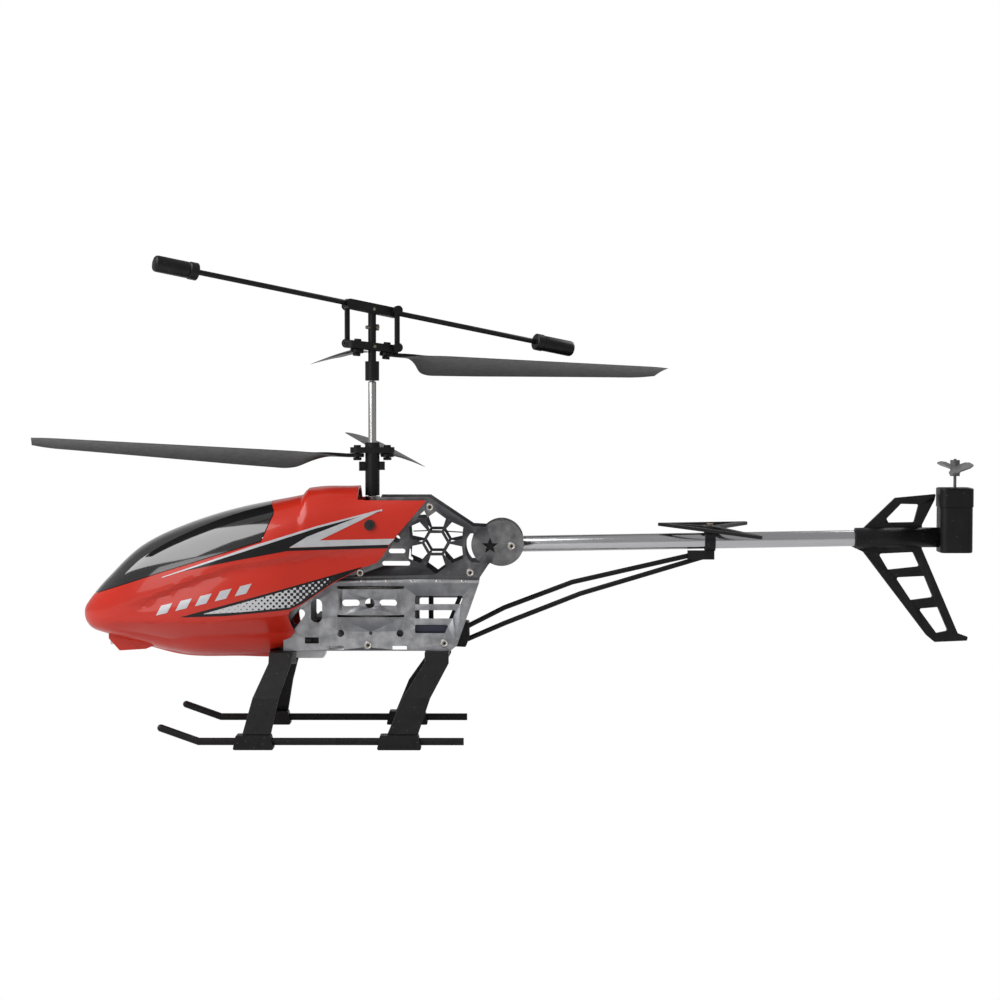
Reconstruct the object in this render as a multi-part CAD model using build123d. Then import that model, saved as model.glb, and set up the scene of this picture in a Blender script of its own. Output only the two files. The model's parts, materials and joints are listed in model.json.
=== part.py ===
from build123d import *
import os
from math import atan2, cos, degrees, pi, radians, sin, sqrt, tan

# Coaxial twin-rotor model helicopter, about 45 cm from nose to tail.
# +Z is up, the nose points to -X, the port side is -Y. The origin is the point
# of the main rotor axis at the height of the landing skids' soles. Millimetres.

# ---------------------------------------------------------------- clearances
RUNNING_GAP = 0.06        # radial, a turning shaft in its bearing
SLIDING_GAP = 0.15        # flat faces that slide past each other
FREE_GAP = 0.4            # between parts that move and must not touch
SEAT_GAP = 0.02           # pieces pushed together that do not move

# ---------------------------------------------------------------- side frames
FRAME_INNER = 16.0        # half the gap between the side frames
UPPER_PLATE = 1.5
LOWER_PLATE = 1.2
DECK_Z = 78.6             # underside of the middle deck
DECK_THICKNESS = 2.1
DECK_OVERHANG = 1.7       # how far the deck stands out past the upper frames
UPPER_TOP_Z = 120.9
LOWER_BOTTOM_Z = 44.8
FRAME_FRONT_X = -43.2
BOSS_X, BOSS_Z, BOSS_RADIUS = 64.6, 98.0, 11.1
CELL_X, CELL_Z = 32.3, 98.3     # centre of the honeycomb of windows
CELL_RADIUS = 5.6
CELL_PITCH = 10.4
BRIDGE_HALF_LENGTH = 16.5
BRIDGE_BULGE = 2.8
BRIDGE_SLIT = 1.3
SCREW_RADIUS = 1.0
SCREW_HEAD_RADIUS = 1.5
SCREW_HEAD_HEIGHT = 0.6
SCREW_DEPTH = 3.5           # shank below the head
UPPER_SCREWS = ((29.3, 116.0), (49.2, 83.6), (-5.2, 83.6), (69.6, 96.8))
LOWER_SCREWS = ((-1.3, 47.6), (36.4, 48.6))
SPACER_RADIUS = 2.2

# ---------------------------------------------------------------- mast and gears
INNER_SHAFT_RADIUS = 1.25
OUTER_SHAFT_RADIUS = 2.0
SHAFT_FOOT_Z = 59.9
BEARING_RADIUS = 4.0
BEARING_HEIGHT = 3.4
FOOT_BEARING_RADIUS = 3.0
CAP_RADIUS = 3.7
CAP_FLANGE_RADIUS, CAP_FLANGE = 6.0, 0.8
BEARING_BLOCK_LOW_Z, BEARING_BLOCK_TOP_Z = 109.0, 116.4
GEAR_HUB_RADIUS = 4.2
UPPER_GEAR_HUB, LOWER_GEAR_HUB = 1.4, 2.2
MOTOR_SHAFT_RADIUS = 0.8
GEAR_BACKLASH = 0.12
INNER_SHAFT_TOP_Z = 193.4
OUTER_SHAFT_TOP_Z = 178.0
GEAR_MODULE = 0.4
MAIN_TEETH = 90
PINION_TEETH = 17
GEAR_WIDTH = 2.4
GEAR_HOLE_RADIUS = 3.9
UPPER_GEAR_Z = 74.1       # underside of the gear that turns the lower rotor
LOWER_GEAR_Z = 61.9       # underside of the gear that turns the upper rotor
BRIDGE_LOW_Z = LOWER_GEAR_Z - FREE_GAP
BRIDGE_HIGH_Z = UPPER_GEAR_Z + GEAR_WIDTH + FREE_GAP
MOTOR_X = -20.0
MOTOR_RADIUS = 7.4
MOTOR_LENGTH = 15.0
MOTOR_PLATE_Z = 60.2
MOTOR_PLATE_THICKNESS = 1.3

# ---------------------------------------------------------------- rotors
BLADE_LENGTH = 160.0      # root screw to tip
BLADE_ROOT_RADIUS = 3.4
BLADE_ROOT_THICKNESS = 1.9
BLADE_CHORD = 29.5        # at the widest place
TIP_CHORD = 21.5
LEADING_OFFSET = 3.1      # leading edge ahead of the root screw's line
ROOT_PITCH, TIP_PITCH = 19.0, 15.0
CONING = 3.3
FOLD_SCREW_RADIUS = 1.0
LOWER_HUB_ANGLE = 8.0     # turn of the lower hub about the mast
LOWER_ROOT_X = 7.5
LOWER_HUB_Z = 142.3
LOWER_HUB_HEIGHT = 2.9
LOWER_SLEEVE_RADIUS = 3.6
LOWER_SLEEVE_FOOT_Z = 121.1
CLAMP_SCREW_X, CLAMP_SCREW_Z = -4.9, 136.0
CLAMP_SCREW_RADIUS = 0.7
HEAD_ANGLE = 27.0         # turn of the upper head about the mast
UPPER_ROOT_X = 8.0
GRIP_Z = 193.5
GRIP_HEIGHT = 3.8
GRIP_HALF_LENGTH = 14.2
GRIP_HALF_WIDTH = 3.6
GRIP_PIVOT_Z = 195.4
GRIP_TILT = 5.5
FLYBAR_PIVOT_Z = 214.0
FLYBAR_TILT = 9.7
FLYBAR_HUB_HALF_LENGTH = 14.2
FLYBAR_HUB_HALF_WIDTH = 3.0
FLYBAR_ROD_RADIUS = 1.3
FLYBAR_ROD_LIFT = 0.6
FLYBAR_ROD_START_X = 5.0
FLYBAR_ROD_CAP = 2.0        # metal left past the rod in a weight's outer end
FLYBAR_REACH = 106.2      # pivot to the middle of a weight
WEIGHT_RADIUS = 4.0
WEIGHT_RING_RADIUS = 4.3
WEIGHT_RING_LENGTH = 4.5
WEIGHT_LENGTH = 17.5
WEIGHT_END_FILLET = 1.4
LINK_X = 11.3
LINK_LIFT = 0.6
LINK_THICKNESS = 2.0
LINK_EYE_RADIUS = 2.1
LINK_WIDTH = 2.2
STUD_HEAD_RADIUS = 2.3
STUD_HEAD_HEIGHT = 0.8
LINK_STUD_RADIUS = 1.2
STUD_ROOT = 1.4              # how deep a stud is rooted in its bar
LINK_Y = 4.3
PIN_RADIUS = 0.8
POST_RADIUS = 2.0
POST_SCREW_Z, POST_SCREW_RADIUS = 205.0, 0.9
POST_FOOT_Z = 188.1
POST_TOP_Z = 215.9
COLLAR_RADIUS = 3.5
LOWER_FOLDS = (2.0, 93.0)     # left and right blade, from straight out
UPPER_FOLDS = (-115.0, -2.0)

# ---------------------------------------------------------------- canopy
CANOPY_WALL = 1.2
CANOPY_BOXINESS = 2.7
# x, top, bottom, half width and height of the widest line at each station
CANOPY_STATIONS = (
    (-143.6, 67.0, 58.5, 5.0, 62.5), (-139.5, 71.5, 54.6, 12.0, 62.5),
    (-131.0, 81.0, 51.8, 19.0, 64.0), (-114.0, 96.8, 46.4, 26.5, 67.0),
    (-92.0, 107.2, 40.9, 31.0, 72.0), (-66.0, 115.0, 40.7, 33.0, 78.0),
    (-44.0, 119.6, 40.7, 32.5, 83.0), (-26.0, 124.6, 44.0, 29.5, 87.0),
    (-4.0, 127.0, 50.0, 26.0, 91.0), (30.0, 131.0, 60.0, 23.5, 95.0),
)
CANOPY_OPEN_TOP_X = -3.2
CANOPY_OPEN_TOP_Z = 119.4
SCREEN_LINE = ((-146.0, 70.0), (-52.0, 100.2), (-47.4, 124.0))
PEG_X, PEG_Z = 0.0, 107.6
PEG_DEPTH = 3.0            # peg inside the frame's inner face
PEG_END_Y = 26.4
GROMMET_RADIUS = 2.0
GROMMET_LENGTH = 4.0
GROMMET_LIP_RADIUS = 2.6

# ---------------------------------------------------------------- battery
TRAY_Z = 50.95            # underside of the battery tray
TRAY_THICKNESS = 1.0
BATTERY_TOP_Z = 57.4

# ---------------------------------------------------------------- switch
SWITCH_DEPTH = 2.1         # body behind the side frame
SLIDER_DEPTH = 1.13
SLIDER_REACH = 1.52        # slider in front of the frame's inner face

# ---------------------------------------------------------------- tail
BOOM_RADIUS = 4.0
BOOM_WALL = 0.5
BOOM_START_X, BOOM_END_X = 59.0, 262.0
BOOM_Z_AT_START = 96.6
BOOM_SLOPE = 0.97         # degrees, rising to the tail
STABILISER_X = 168.8
STABILISER_HALF_SPAN = 38.0
STABILISER_THICKNESS = 1.6
STABILISER_STRIP = 2.6
STABILISER_PITCH = 4.0
STABILISER_ROLL = 2.5
CLAMP_WALL = 1.3
ROD_RADIUS = 1.25
FIN_THICKNESS = 2.6
FIN_BARREL_WALL = 1.2
FIN_BARREL_CAP = 4.0        # barrel past the boom's end
ARM_RADIUS = 5.0
TAIL_MOTOR_X = BOOM_END_X + 29.2
TAIL_BOX = 16.2
TAIL_BOX_LOW_Z, TAIL_CAP_Z, TAIL_BOX_TOP_Z = 92.6, 115.4, 125.0
TAIL_MOTOR_RADIUS = 6.05
TAIL_MOTOR_TOP_Z = 122.6
TAIL_BOX_FLOOR = 1.5
TAIL_CAP_LIP = 0.35         # how far the cap stands out past the box
TAIL_SHAFT_RADIUS = 0.75
TAIL_SHAFT_FOOT_Z = 113.0
TAIL_HUB_RADIUS, TAIL_HUB_HEIGHT = 2.4, 8.0
TAIL_ROTOR_RADIUS = 27.0
TAIL_HUB_Z = 130.8
TAIL_CHORD = 11.5
TAIL_PITCH = 28.0

# ---------------------------------------------------------------- landing gear
SKID_Y = 44.0
SKID_RADIUS = 1.8
SKID_Z = 3.7
SKID_FRONT_X, SKID_REAR_X = -81.8, 46.5
SKID_TIP_X, SKID_TIP_Z = -100.0, 10.2
SHOE_HALF_WIDTH = 4.0
SHOE_HEIGHT = 7.1
SHOES = ((-65.0, -45.2), (4.6, 26.1))
STRUT_FEET = ((-60.6, -46.8), (9.5, 24.4))
STRUT_HEADS = ((-49.9, -38.8), (26.8, 38.7))
STRUT_THICKNESS = 2.8
CROSSBAR_Z = 41.9
CROSSBAR_HALF_WIDTH = 19.5


# ---------------------------------------------------------------- helpers
def rod(start, end, radius):
    """Round bar between two points."""
    a, b = Vector(*start), Vector(*end)
    return Part() + Solid.make_cylinder(radius, (b - a).length, Plane(a, z_dir=b - a))


def tube(start, end, radius, bore):
    return rod(start, end, radius) - rod(start, end, bore)


def block(x0, x1, y0, y1, z0, z1):
    return Pos((x0 + x1) / 2, (y0 + y1) / 2, (z0 + z1) / 2) * Box(x1 - x0, y1 - y0, z1 - z0)


def upright(sketch, y0, y1):
    """A sketch in X and Z pushed out between two Y planes."""
    place = Plane((0, y1, 0), x_dir=(1, 0, 0), z_dir=(0, -1, 0))
    return extrude(place * sketch, y1 - y0)


def outline(points, radius=0.0):
    sketch = Sketch() + Polygon(*points, align=None)
    return fillet(sketch.vertices(), radius) if radius else sketch


def disc(x, z, radius):
    return Pos(x, z) * Circle(radius)


def mirrored(shape):
    return mirror(shape, about=Plane.XZ)


def boom_z(x):
    return BOOM_Z_AT_START + (x - BOOM_START_X) * tan(radians(BOOM_SLOPE))


def gear(teeth, width, bore, z, phase=0.0, backlash=0.0):
    """Spur gear on the Z axis with straight-flanked teeth."""
    pitch_r = GEAR_MODULE * teeth / 2
    tip_r, root_r = pitch_r + 0.8 * GEAR_MODULE, pitch_r - 1.1 * GEAR_MODULE
    step = 2 * pi / teeth
    points = []
    for i in range(teeth):
        middle = i * step + phase
        for share, r in ((-0.36, root_r), (-0.13, tip_r), (0.13, tip_r), (0.36, root_r)):
            a = middle + share * step * (1 - backlash)
            points.append((r * cos(a), r * sin(a)))
    body = Pos(0, 0, z) * extrude(Polygon(*points, align=None), width)
    return body - Pos(0, 0, z + width / 2) * Cylinder(bore, 2 * width) if bore else body


def stadium(half_length, half_width, z0, z1):
    body = block(-half_length + half_width, half_length - half_width, -half_width, half_width, z0, z1)
    for side in (-1, 1):
        x = side * (half_length - half_width)
        body += rod((x, 0, z0), (x, 0, z1), half_width)
    return body


def write(name, shape):
    export_step(Compound(children=list(shape.solids()), label=name), f"parts/{name}.step")


# ---------------------------------------------------------------- side frames
def star(x, z, radius):
    points = []
    for i in range(10):
        r = radius if i % 2 == 0 else 0.42 * radius
        a = radians(90 + 36 * i)
        points.append((x + r * cos(a), z + r * sin(a)))
    return Polygon(*points, align=None)


def cell(x, z, sides, turn):
    return Pos(x, z) * Rot(0, 0, turn) * RegularPolygon(CELL_RADIUS * (1.0 if sides == 6 else 0.92), sides)


def upper_frame():
    top = outline(
        ((-22, DECK_Z + DECK_THICKNESS), (53.6, DECK_Z + DECK_THICKNESS), (58.2, 87.6),
         (BOSS_X, BOSS_Z - 4), (BOSS_X, BOSS_Z + 6), (57.6, 106.0), (50.5, 106.4),
         (28.8, UPPER_TOP_Z), (4.0, UPPER_TOP_Z), (-3.0, 108.0), (-22, 100.0))
    )
    sketch = top + disc(BOSS_X, BOSS_Z, BOSS_RADIUS)
    sketch -= cell(CELL_X, CELL_Z, 6, 0)
    for i in range(6):
        a = radians(90 + 60 * i)
        x, z = CELL_X + CELL_PITCH * cos(a), CELL_Z + CELL_PITCH * sin(a)
        sketch -= cell(x, z, 5, degrees(a))
    sketch -= star(59.0, 96.8, 4.2)
    crescent = disc(57.8, 96.0, 11.0) - disc(60.3, 97.4, 10.6)
    sketch -= crescent & Polygon((44, 88.6), (56, 88.6), (56, 103), (44, 103), align=None)
    for x0, x1, z in ((9.0, 17.2, 94.3), (5.8, 19.6, 88.2)):
        sketch -= Pos((x0 + x1) / 2, z) * SlotOverall(x1 - x0, 2.3)
    sketch -= Polygon((22.6, 110.6), (28.2, 110.6), (26.6, 114.2), align=None)
    sketch -= disc(12.8, 100.3, 1.9)
    for x, z in UPPER_SCREWS + ((PEG_X, PEG_Z),):
        sketch -= disc(x, z, SCREW_RADIUS + SEAT_GAP)
    return upright(sketch, FRAME_INNER, FRAME_INNER + UPPER_PLATE)


def access_window():
    """Window in the starboard plate, opposite the port plate's two slots."""
    sketch = outline(((3.5, 84.4), (18.5, 84.4), (18.5, 93.4), (5.5, 93.4)), 0.8)
    return upright(sketch, FRAME_INNER - 1, FRAME_INNER + UPPER_PLATE + 1)


def lower_outline():
    return outline(
        ((FRAME_FRONT_X, LOWER_BOTTOM_Z), (39.4, LOWER_BOTTOM_Z), (42.6, 47.4),
         (53.6, DECK_Z), (FRAME_FRONT_X, DECK_Z))
    )


def lower_common(sketch):
    sketch -= Pos(-26.8, 64.7) * Rot(0, 0, 90) * SlotOverall(11.8, 5.6)
    sketch -= Pos(-37.0, 60.0) * Rot(0, 0, 54) * SlotOverall(12.4, 4.2)
    for x, z, r in ((-14.9, 53.5, 1.75), (0.0, 53.6, 0.85), (14.5, 53.5, 1.75)):
        sketch -= disc(x, z, r)
    for x in (-16.9, 14.3):
        sketch -= Pos(x, 46.3) * RectangleRounded(7.2, 1.9, 0.4)
    for x, z in LOWER_SCREWS:
        sketch -= disc(x, z, SCREW_RADIUS + SEAT_GAP)
    return sketch


def lower_frame_left():
    """Port plate with a pressed-out bridge over the gears and three vents."""
    sketch = lower_common(lower_outline())
    half, low, high = BRIDGE_HALF_LENGTH, BRIDGE_LOW_Z, BRIDGE_HIGH_Z
    sketch -= Pos(0, (low + high) / 2) * Rectangle(2 * half, high - low)
    for z0, z1, x1 in ((67.9, 72.1, 45.2), (60.8, 65.0, 41.4), (53.6, 57.8, 37.6)):
        lean = 0.42 * (z1 - z0)
        vent = outline(((21.9, z0), (x1 - lean / 2, z0), (x1 + lean / 2, z1), (21.9, z1)), 0.7)
        sketch -= vent
    sketch -= Pos(-29.15, 49.95) * Rectangle(6.9, 3.1)
    plate = upright(sketch, -FRAME_INNER - LOWER_PLATE, -FRAME_INNER)
    y_in = -FRAME_INNER
    y_out = y_in - LOWER_PLATE
    ramp = BRIDGE_BULGE + 0.4
    path = (
        (-half, y_in), (-half + ramp, y_in - BRIDGE_BULGE), (half - ramp, y_in - BRIDGE_BULGE),
        (half, y_in), (half, y_out), (half - ramp + 0.5, y_out - BRIDGE_BULGE),
        (-half + ramp - 0.5, y_out - BRIDGE_BULGE), (-half, y_out),
    )
    height = high - low - 2 * BRIDGE_SLIT
    strap = extrude(Pos(0, 0, low + BRIDGE_SLIT) * Polygon(*path, align=None), height, dir=(0, 0, 1))
    holes = disc(-0.2, 68.6, 2.4)
    for x in (-9.6, 8.8):
        holes += Pos(x, 68.8) * SlotOverall(8.6, 3.3)
    return plate + (strap - upright(holes, -30, -15))


def lower_frame_right():
    """Starboard plate, cut open over the gears and beside the battery."""
    sketch = lower_common(lower_outline())
    low, high = BRIDGE_LOW_Z, BRIDGE_HIGH_Z
    sketch -= Pos(0, (low + high) / 2) * RectangleRounded(2 * BRIDGE_HALF_LENGTH, high - low, 1.5)
    sketch -= outline(((22.9, 57.4), (40.4, 57.4), (45.4, 68.4), (22.9, 68.4)), 1.0)
    return upright(sketch, FRAME_INNER, FRAME_INNER + LOWER_PLATE)


def frame_screws(places, outer):
    group = []
    for side in (-1, 1):
        for x, z in places:
            y = side * outer
            head = rod((x, y, z), (x, y + side * SCREW_HEAD_HEIGHT, z), SCREW_HEAD_RADIUS)
            shank = rod((x, y - side * SCREW_DEPTH, z), (x, y, z), SCREW_RADIUS - SEAT_GAP)
            slot = block(x - 0.25, x + 0.25, -1, 1, z - 0.8, z + 0.8)
            cross = slot + Pos(x, 0, z) * Rot(0, 90, 0) * Pos(-x, 0, -z) * slot
            group.append(head + shank - Pos(0, y + side * (SCREW_HEAD_HEIGHT + 0.7), 0) * cross)
    return group


def spacers(places):
    """Cross tubes that the screws pull the side frames against."""
    reach = FRAME_INNER - SEAT_GAP
    return [
        tube((x, -reach, z), (x, reach, z), SPACER_RADIUS, SCREW_RADIUS) for x, z in places
    ]


def mid_deck():
    half = FRAME_INNER + UPPER_PLATE + DECK_OVERHANG
    top = DECK_Z + DECK_THICKNESS
    deck = block(-18.6, 53.6, -half, half, DECK_Z, top)
    deck = fillet(deck.edges().filter_by(Axis.X).group_by(Axis.Z)[-1], 0.8)
    deck -= rod((0, 0, DECK_Z - 1), (0, 0, top + 1), BEARING_RADIUS)
    deck -= block(14, 46, -10, 10, DECK_Z - 1, top + 1)
    return deck


def deck_rivets():
    y = FRAME_INNER + UPPER_PLATE + DECK_OVERHANG
    z = DECK_Z + DECK_THICKNESS / 2
    group = []
    for side in (-1, 1):
        for i in range(5):
            x = -4.5 + 12.4 * i
            group.append(rod((x, side * y, z), (x, side * (y + 0.35), z), 0.6))
    return group


def motor_plate():
    top = MOTOR_PLATE_Z + MOTOR_PLATE_THICKNESS
    half = FRAME_INNER - SEAT_GAP
    plate = block(-27.6, 9.5, -half, half, MOTOR_PLATE_Z, top)
    plate -= rod((0, 0, MOTOR_PLATE_Z - 1), (0, 0, top + 1), FOOT_BEARING_RADIUS)
    for side in (-1, 1):
        y = side * MOTOR_Y
        plate -= rod((MOTOR_X, y, MOTOR_PLATE_Z - 1), (MOTOR_X, y, top + 1), 2.4)
    return plate


def bearing_block():
    half = FRAME_INNER - SEAT_GAP
    low, top = BEARING_BLOCK_LOW_Z, BEARING_BLOCK_TOP_Z
    body = block(-8, 8, -half, half, low, top)
    body -= rod((0, 0, low - 1), (0, 0, top + 1), BEARING_RADIUS)
    for side in (-1, 1):
        y = side * (FRAME_INNER - PEG_DEPTH - FREE_GAP)
        body -= rod((PEG_X, y, PEG_Z), (PEG_X, side * (half + 1), PEG_Z), GROMMET_RADIUS)
    return body


def bearing(z0, z1, radius, shaft):
    return tube((0, 0, z0), (0, 0, z1), radius, shaft + RUNNING_GAP)


# ---------------------------------------------------------------- drive
MAIN_PITCH_RADIUS = GEAR_MODULE * MAIN_TEETH / 2
PINION_PITCH_RADIUS = GEAR_MODULE * PINION_TEETH / 2
GEAR_DISTANCE = MAIN_PITCH_RADIUS + PINION_PITCH_RADIUS + GEAR_BACKLASH
MOTOR_Y = sqrt(GEAR_DISTANCE**2 - MOTOR_X**2)


def main_gear(z, bore, hub_height):
    width = GEAR_WIDTH
    wheel = gear(MAIN_TEETH, width, 0, z)
    rim = MAIN_PITCH_RADIUS - 2.4
    middle = (GEAR_HUB_RADIUS + rim) / 2 + 1.0
    for i in range(6):
        a = radians(60 * i + 30)
        x, y = middle * cos(a), middle * sin(a)
        wheel -= rod((x, y, z - 1), (x, y, z + width + 1), GEAR_HOLE_RADIUS)
    wheel += rod((0, 0, z), (0, 0, z + width + hub_height), GEAR_HUB_RADIUS)
    return wheel - rod((0, 0, z - 1), (0, 0, z + width + hub_height + 1), bore)


def pinion(side, z):
    """Pinion and motor shaft, in mesh with its main gear at rest."""
    y = side * MOTOR_Y
    towards = atan2(-y, -MOTOR_X)
    # the main gear has a tooth at angle 0; the pinion shows a gap where the two meet
    contact = towards + pi
    teeth_along = contact * MAIN_TEETH / (2 * pi)
    offset = (teeth_along - round(teeth_along)) * 2 * pi / PINION_TEETH
    phase = towards + pi / PINION_TEETH + offset
    wheel = gear(PINION_TEETH, GEAR_WIDTH + 0.4, 0, z - 0.2, phase, backlash=0.14)
    wheel = Pos(MOTOR_X, y, 0) * wheel
    low = MOTOR_PLATE_Z - 6.0
    return wheel, rod((MOTOR_X, y, low), (MOTOR_X, y, z + GEAR_WIDTH + 1.0), MOTOR_SHAFT_RADIUS)


def main_motor(side):
    y = side * MOTOR_Y
    top = MOTOR_PLATE_Z
    can = rod((MOTOR_X, y, top - MOTOR_LENGTH), (MOTOR_X, y, top), MOTOR_RADIUS)
    can = fillet(can.edges().filter_by(GeomType.CIRCLE), 0.8)
    can += rod((MOTOR_X, y, top), (MOTOR_X, y, top + 0.9), 2.3)
    return can - rod((MOTOR_X, y, top - 6.5), (MOTOR_X, y, top + 2), MOTOR_SHAFT_RADIUS + RUNNING_GAP)


# ---------------------------------------------------------------- blades
def blade(hand):
    """Blade along +X from its root screw at the origin, root underside at Z 0.

    hand is +1 where the leading edge is on the +Y side and -1 where it is on the -Y side.
    """
    root = BLADE_ROOT_THICKNESS
    corner = 32.5
    # span, leading edge, trailing edge, thickness, pitch
    stations = (
        (1.0, 2.0, 2.0, root, 0.0), (7.0, 2.0, 2.0, root, 0.0), (14.0, 2.2, 3.4, 1.6, 12.0),
        (corner, LEADING_OFFSET, BLADE_CHORD - LEADING_OFFSET, 1.2, ROOT_PITCH),
        (0.6 * BLADE_LENGTH, LEADING_OFFSET, 0.5 * (BLADE_CHORD + TIP_CHORD) - LEADING_OFFSET,
         1.1, 0.5 * (ROOT_PITCH + TIP_PITCH)),
        (0.93 * BLADE_LENGTH, LEADING_OFFSET, TIP_CHORD - LEADING_OFFSET, 0.9, TIP_PITCH),
        (BLADE_LENGTH, 0.5 * LEADING_OFFSET, 0.66 * TIP_CHORD, 0.7, TIP_PITCH),
    )
    sections = []
    for s, lead, trail, thick, pitch in stations:
        rise = root / 2 + max(0.0, s - 5.0) * tan(radians(CONING))
        up = Vector(0, -sin(radians(pitch)) * hand, cos(radians(pitch)))
        across = Vector(0, cos(radians(pitch)) * hand, sin(radians(pitch)))
        middle = Vector(s, 0, rise)
        corners = [
            middle + across * lead + up * (thick / 2), middle - across * trail + up * (thick / 2),
            middle - across * trail - up * (thick / 2), middle + across * lead - up * (thick / 2),
        ]
        sections.append(Wire.make_polygon(corners, close=True))
    skin = Part() + Solid.make_loft(sections, ruled=True)
    skin += rod((0, 0, 0), (0, 0, root), BLADE_ROOT_RADIUS)
    return skin - rod((0, 0, -1), (0, 0, root + 1), FOLD_SCREW_RADIUS + RUNNING_GAP)


def fold_screw(x, root_z, hub_top):
    """Screw through the hub and the blade root, with its nut underneath."""
    low = root_z - SLIDING_GAP - 1.4
    screw = rod((x, 0, low), (x, 0, hub_top), FOLD_SCREW_RADIUS)
    screw += rod((x, 0, hub_top), (x, 0, hub_top + 1.1), 1.8)
    nut = Pos(x, 0, low) * extrude(RegularPolygon(2.1, 6), 1.4)
    return screw + nut


def placed_blades(hand, root_x, root_z, folds):
    """The left blade, straight out along -X, and the right one, along +X, each at its fold."""
    left = Pos(-root_x, 0, root_z) * Rot(0, 0, 180 + folds[0]) * blade(hand)
    right = Pos(root_x, 0, root_z) * Rot(0, 0, folds[1]) * blade(hand)
    return left, right


# ---------------------------------------------------------------- lower rotor
def lower_hub():
    top = LOWER_HUB_Z + LOWER_HUB_HEIGHT
    body = stadium(LOWER_ROOT_X + LOWER_SLEEVE_RADIUS, LOWER_SLEEVE_RADIUS, LOWER_HUB_Z, top)
    body += rod((0, 0, LOWER_SLEEVE_FOOT_Z), (0, 0, LOWER_HUB_Z), LOWER_SLEEVE_RADIUS)
    body += rod((0, 0, top), (0, 0, top + 2.4), 3.7)
    body += block(-6.6, -3.0, -1.8, 1.8, 133.4, 138.0)
    body += block(3.0, 6.1, -1.8, 1.8, 133.8, 138.0)
    body -= rod((0, 0, LOWER_SLEEVE_FOOT_Z - 1), (0, 0, top + 5), OUTER_SHAFT_RADIUS)
    for side in (-1, 1):
        x = side * LOWER_ROOT_X
        body -= rod((x, 0, LOWER_HUB_Z - 1), (x, 0, top + 1), FOLD_SCREW_RADIUS)
    start, end = (CLAMP_SCREW_X, -3, CLAMP_SCREW_Z), (CLAMP_SCREW_X, 0.6, CLAMP_SCREW_Z)
    return body - rod(start, end, CLAMP_SCREW_RADIUS)


def lower_hub_screws():
    top = LOWER_HUB_Z + LOWER_HUB_HEIGHT
    x, z = CLAMP_SCREW_X, CLAMP_SCREW_Z
    clamp = rod((x, -1.8, z), (x, 0.6, z), CLAMP_SCREW_RADIUS)
    clamp += rod((x, -2.7, z), (x, -1.8, z), 1.3)
    root_z = LOWER_HUB_Z - SLIDING_GAP - BLADE_ROOT_THICKNESS
    folds = [fold_screw(side * LOWER_ROOT_X, root_z, top) for side in (-1, 1)]
    return [clamp] + folds


# ---------------------------------------------------------------- upper rotor
def about(pivot_z, tilt):
    """Tilt about the teeter axis, which is Y before the head is turned."""
    return Pos(0, 0, pivot_z) * Rot(0, tilt, 0) * Pos(0, 0, -pivot_z)


def head_post():
    post = rod((0, 0, POST_FOOT_Z), (0, 0, POST_TOP_Z), POST_RADIUS)
    post -= rod((0, 0, POST_FOOT_Z - 1), (0, 0, INNER_SHAFT_TOP_Z), INNER_SHAFT_RADIUS)
    for z in (GRIP_PIVOT_Z, FLYBAR_PIVOT_Z):
        post -= rod((0, -3, z), (0, 3, z), PIN_RADIUS)
    return post - rod((-3, 0, POST_SCREW_Z), (3, 0, POST_SCREW_Z), POST_SCREW_RADIUS)


def teeter_pins():
    group = []
    for z, half in ((GRIP_PIVOT_Z, GRIP_HALF_WIDTH), (FLYBAR_PIVOT_Z, FLYBAR_HUB_HALF_WIDTH)):
        group.append(rod((0, -half, z), (0, half, z), PIN_RADIUS))
    return group


def post_screw():
    z, face = POST_SCREW_Z, POST_RADIUS + 0.2
    screw = rod((-3.3, 0, z), (face, 0, z), POST_SCREW_RADIUS)
    return screw + rod((face, 0, z), (face + 1.2, 0, z), 1.6)


def stud(x, y_side, pivot_z, inner):
    z = pivot_z + LINK_LIFT
    end = LINK_Y + LINK_THICKNESS + SLIDING_GAP
    pin = rod((x, y_side * inner, z), (x, y_side * end, z), LINK_STUD_RADIUS)
    return pin + rod((x, y_side * end, z), (x, y_side * (end + STUD_HEAD_HEIGHT), z), STUD_HEAD_RADIUS)


def grip_bar():
    top = GRIP_Z + GRIP_HEIGHT
    body = stadium(GRIP_HALF_LENGTH, GRIP_HALF_WIDTH, GRIP_Z, top)
    body -= block(-3.0, 3.0, -POST_RADIUS - 0.3, POST_RADIUS + 0.3, GRIP_Z - 1, top + 1)
    body -= rod((0, -5, GRIP_PIVOT_Z), (0, 5, GRIP_PIVOT_Z), PIN_RADIUS + RUNNING_GAP)
    for side in (-1, 1):
        x = side * UPPER_ROOT_X
        body -= rod((x, 0, GRIP_Z - 1), (x, 0, top + 1), FOLD_SCREW_RADIUS)
        body += stud(side * LINK_X, -side, GRIP_PIVOT_Z, GRIP_HALF_WIDTH - STUD_ROOT)
    return body


def grip_screws():
    root_z = GRIP_Z - SLIDING_GAP - BLADE_ROOT_THICKNESS
    return [fold_screw(side * UPPER_ROOT_X, root_z, GRIP_Z + GRIP_HEIGHT) for side in (-1, 1)]


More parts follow.
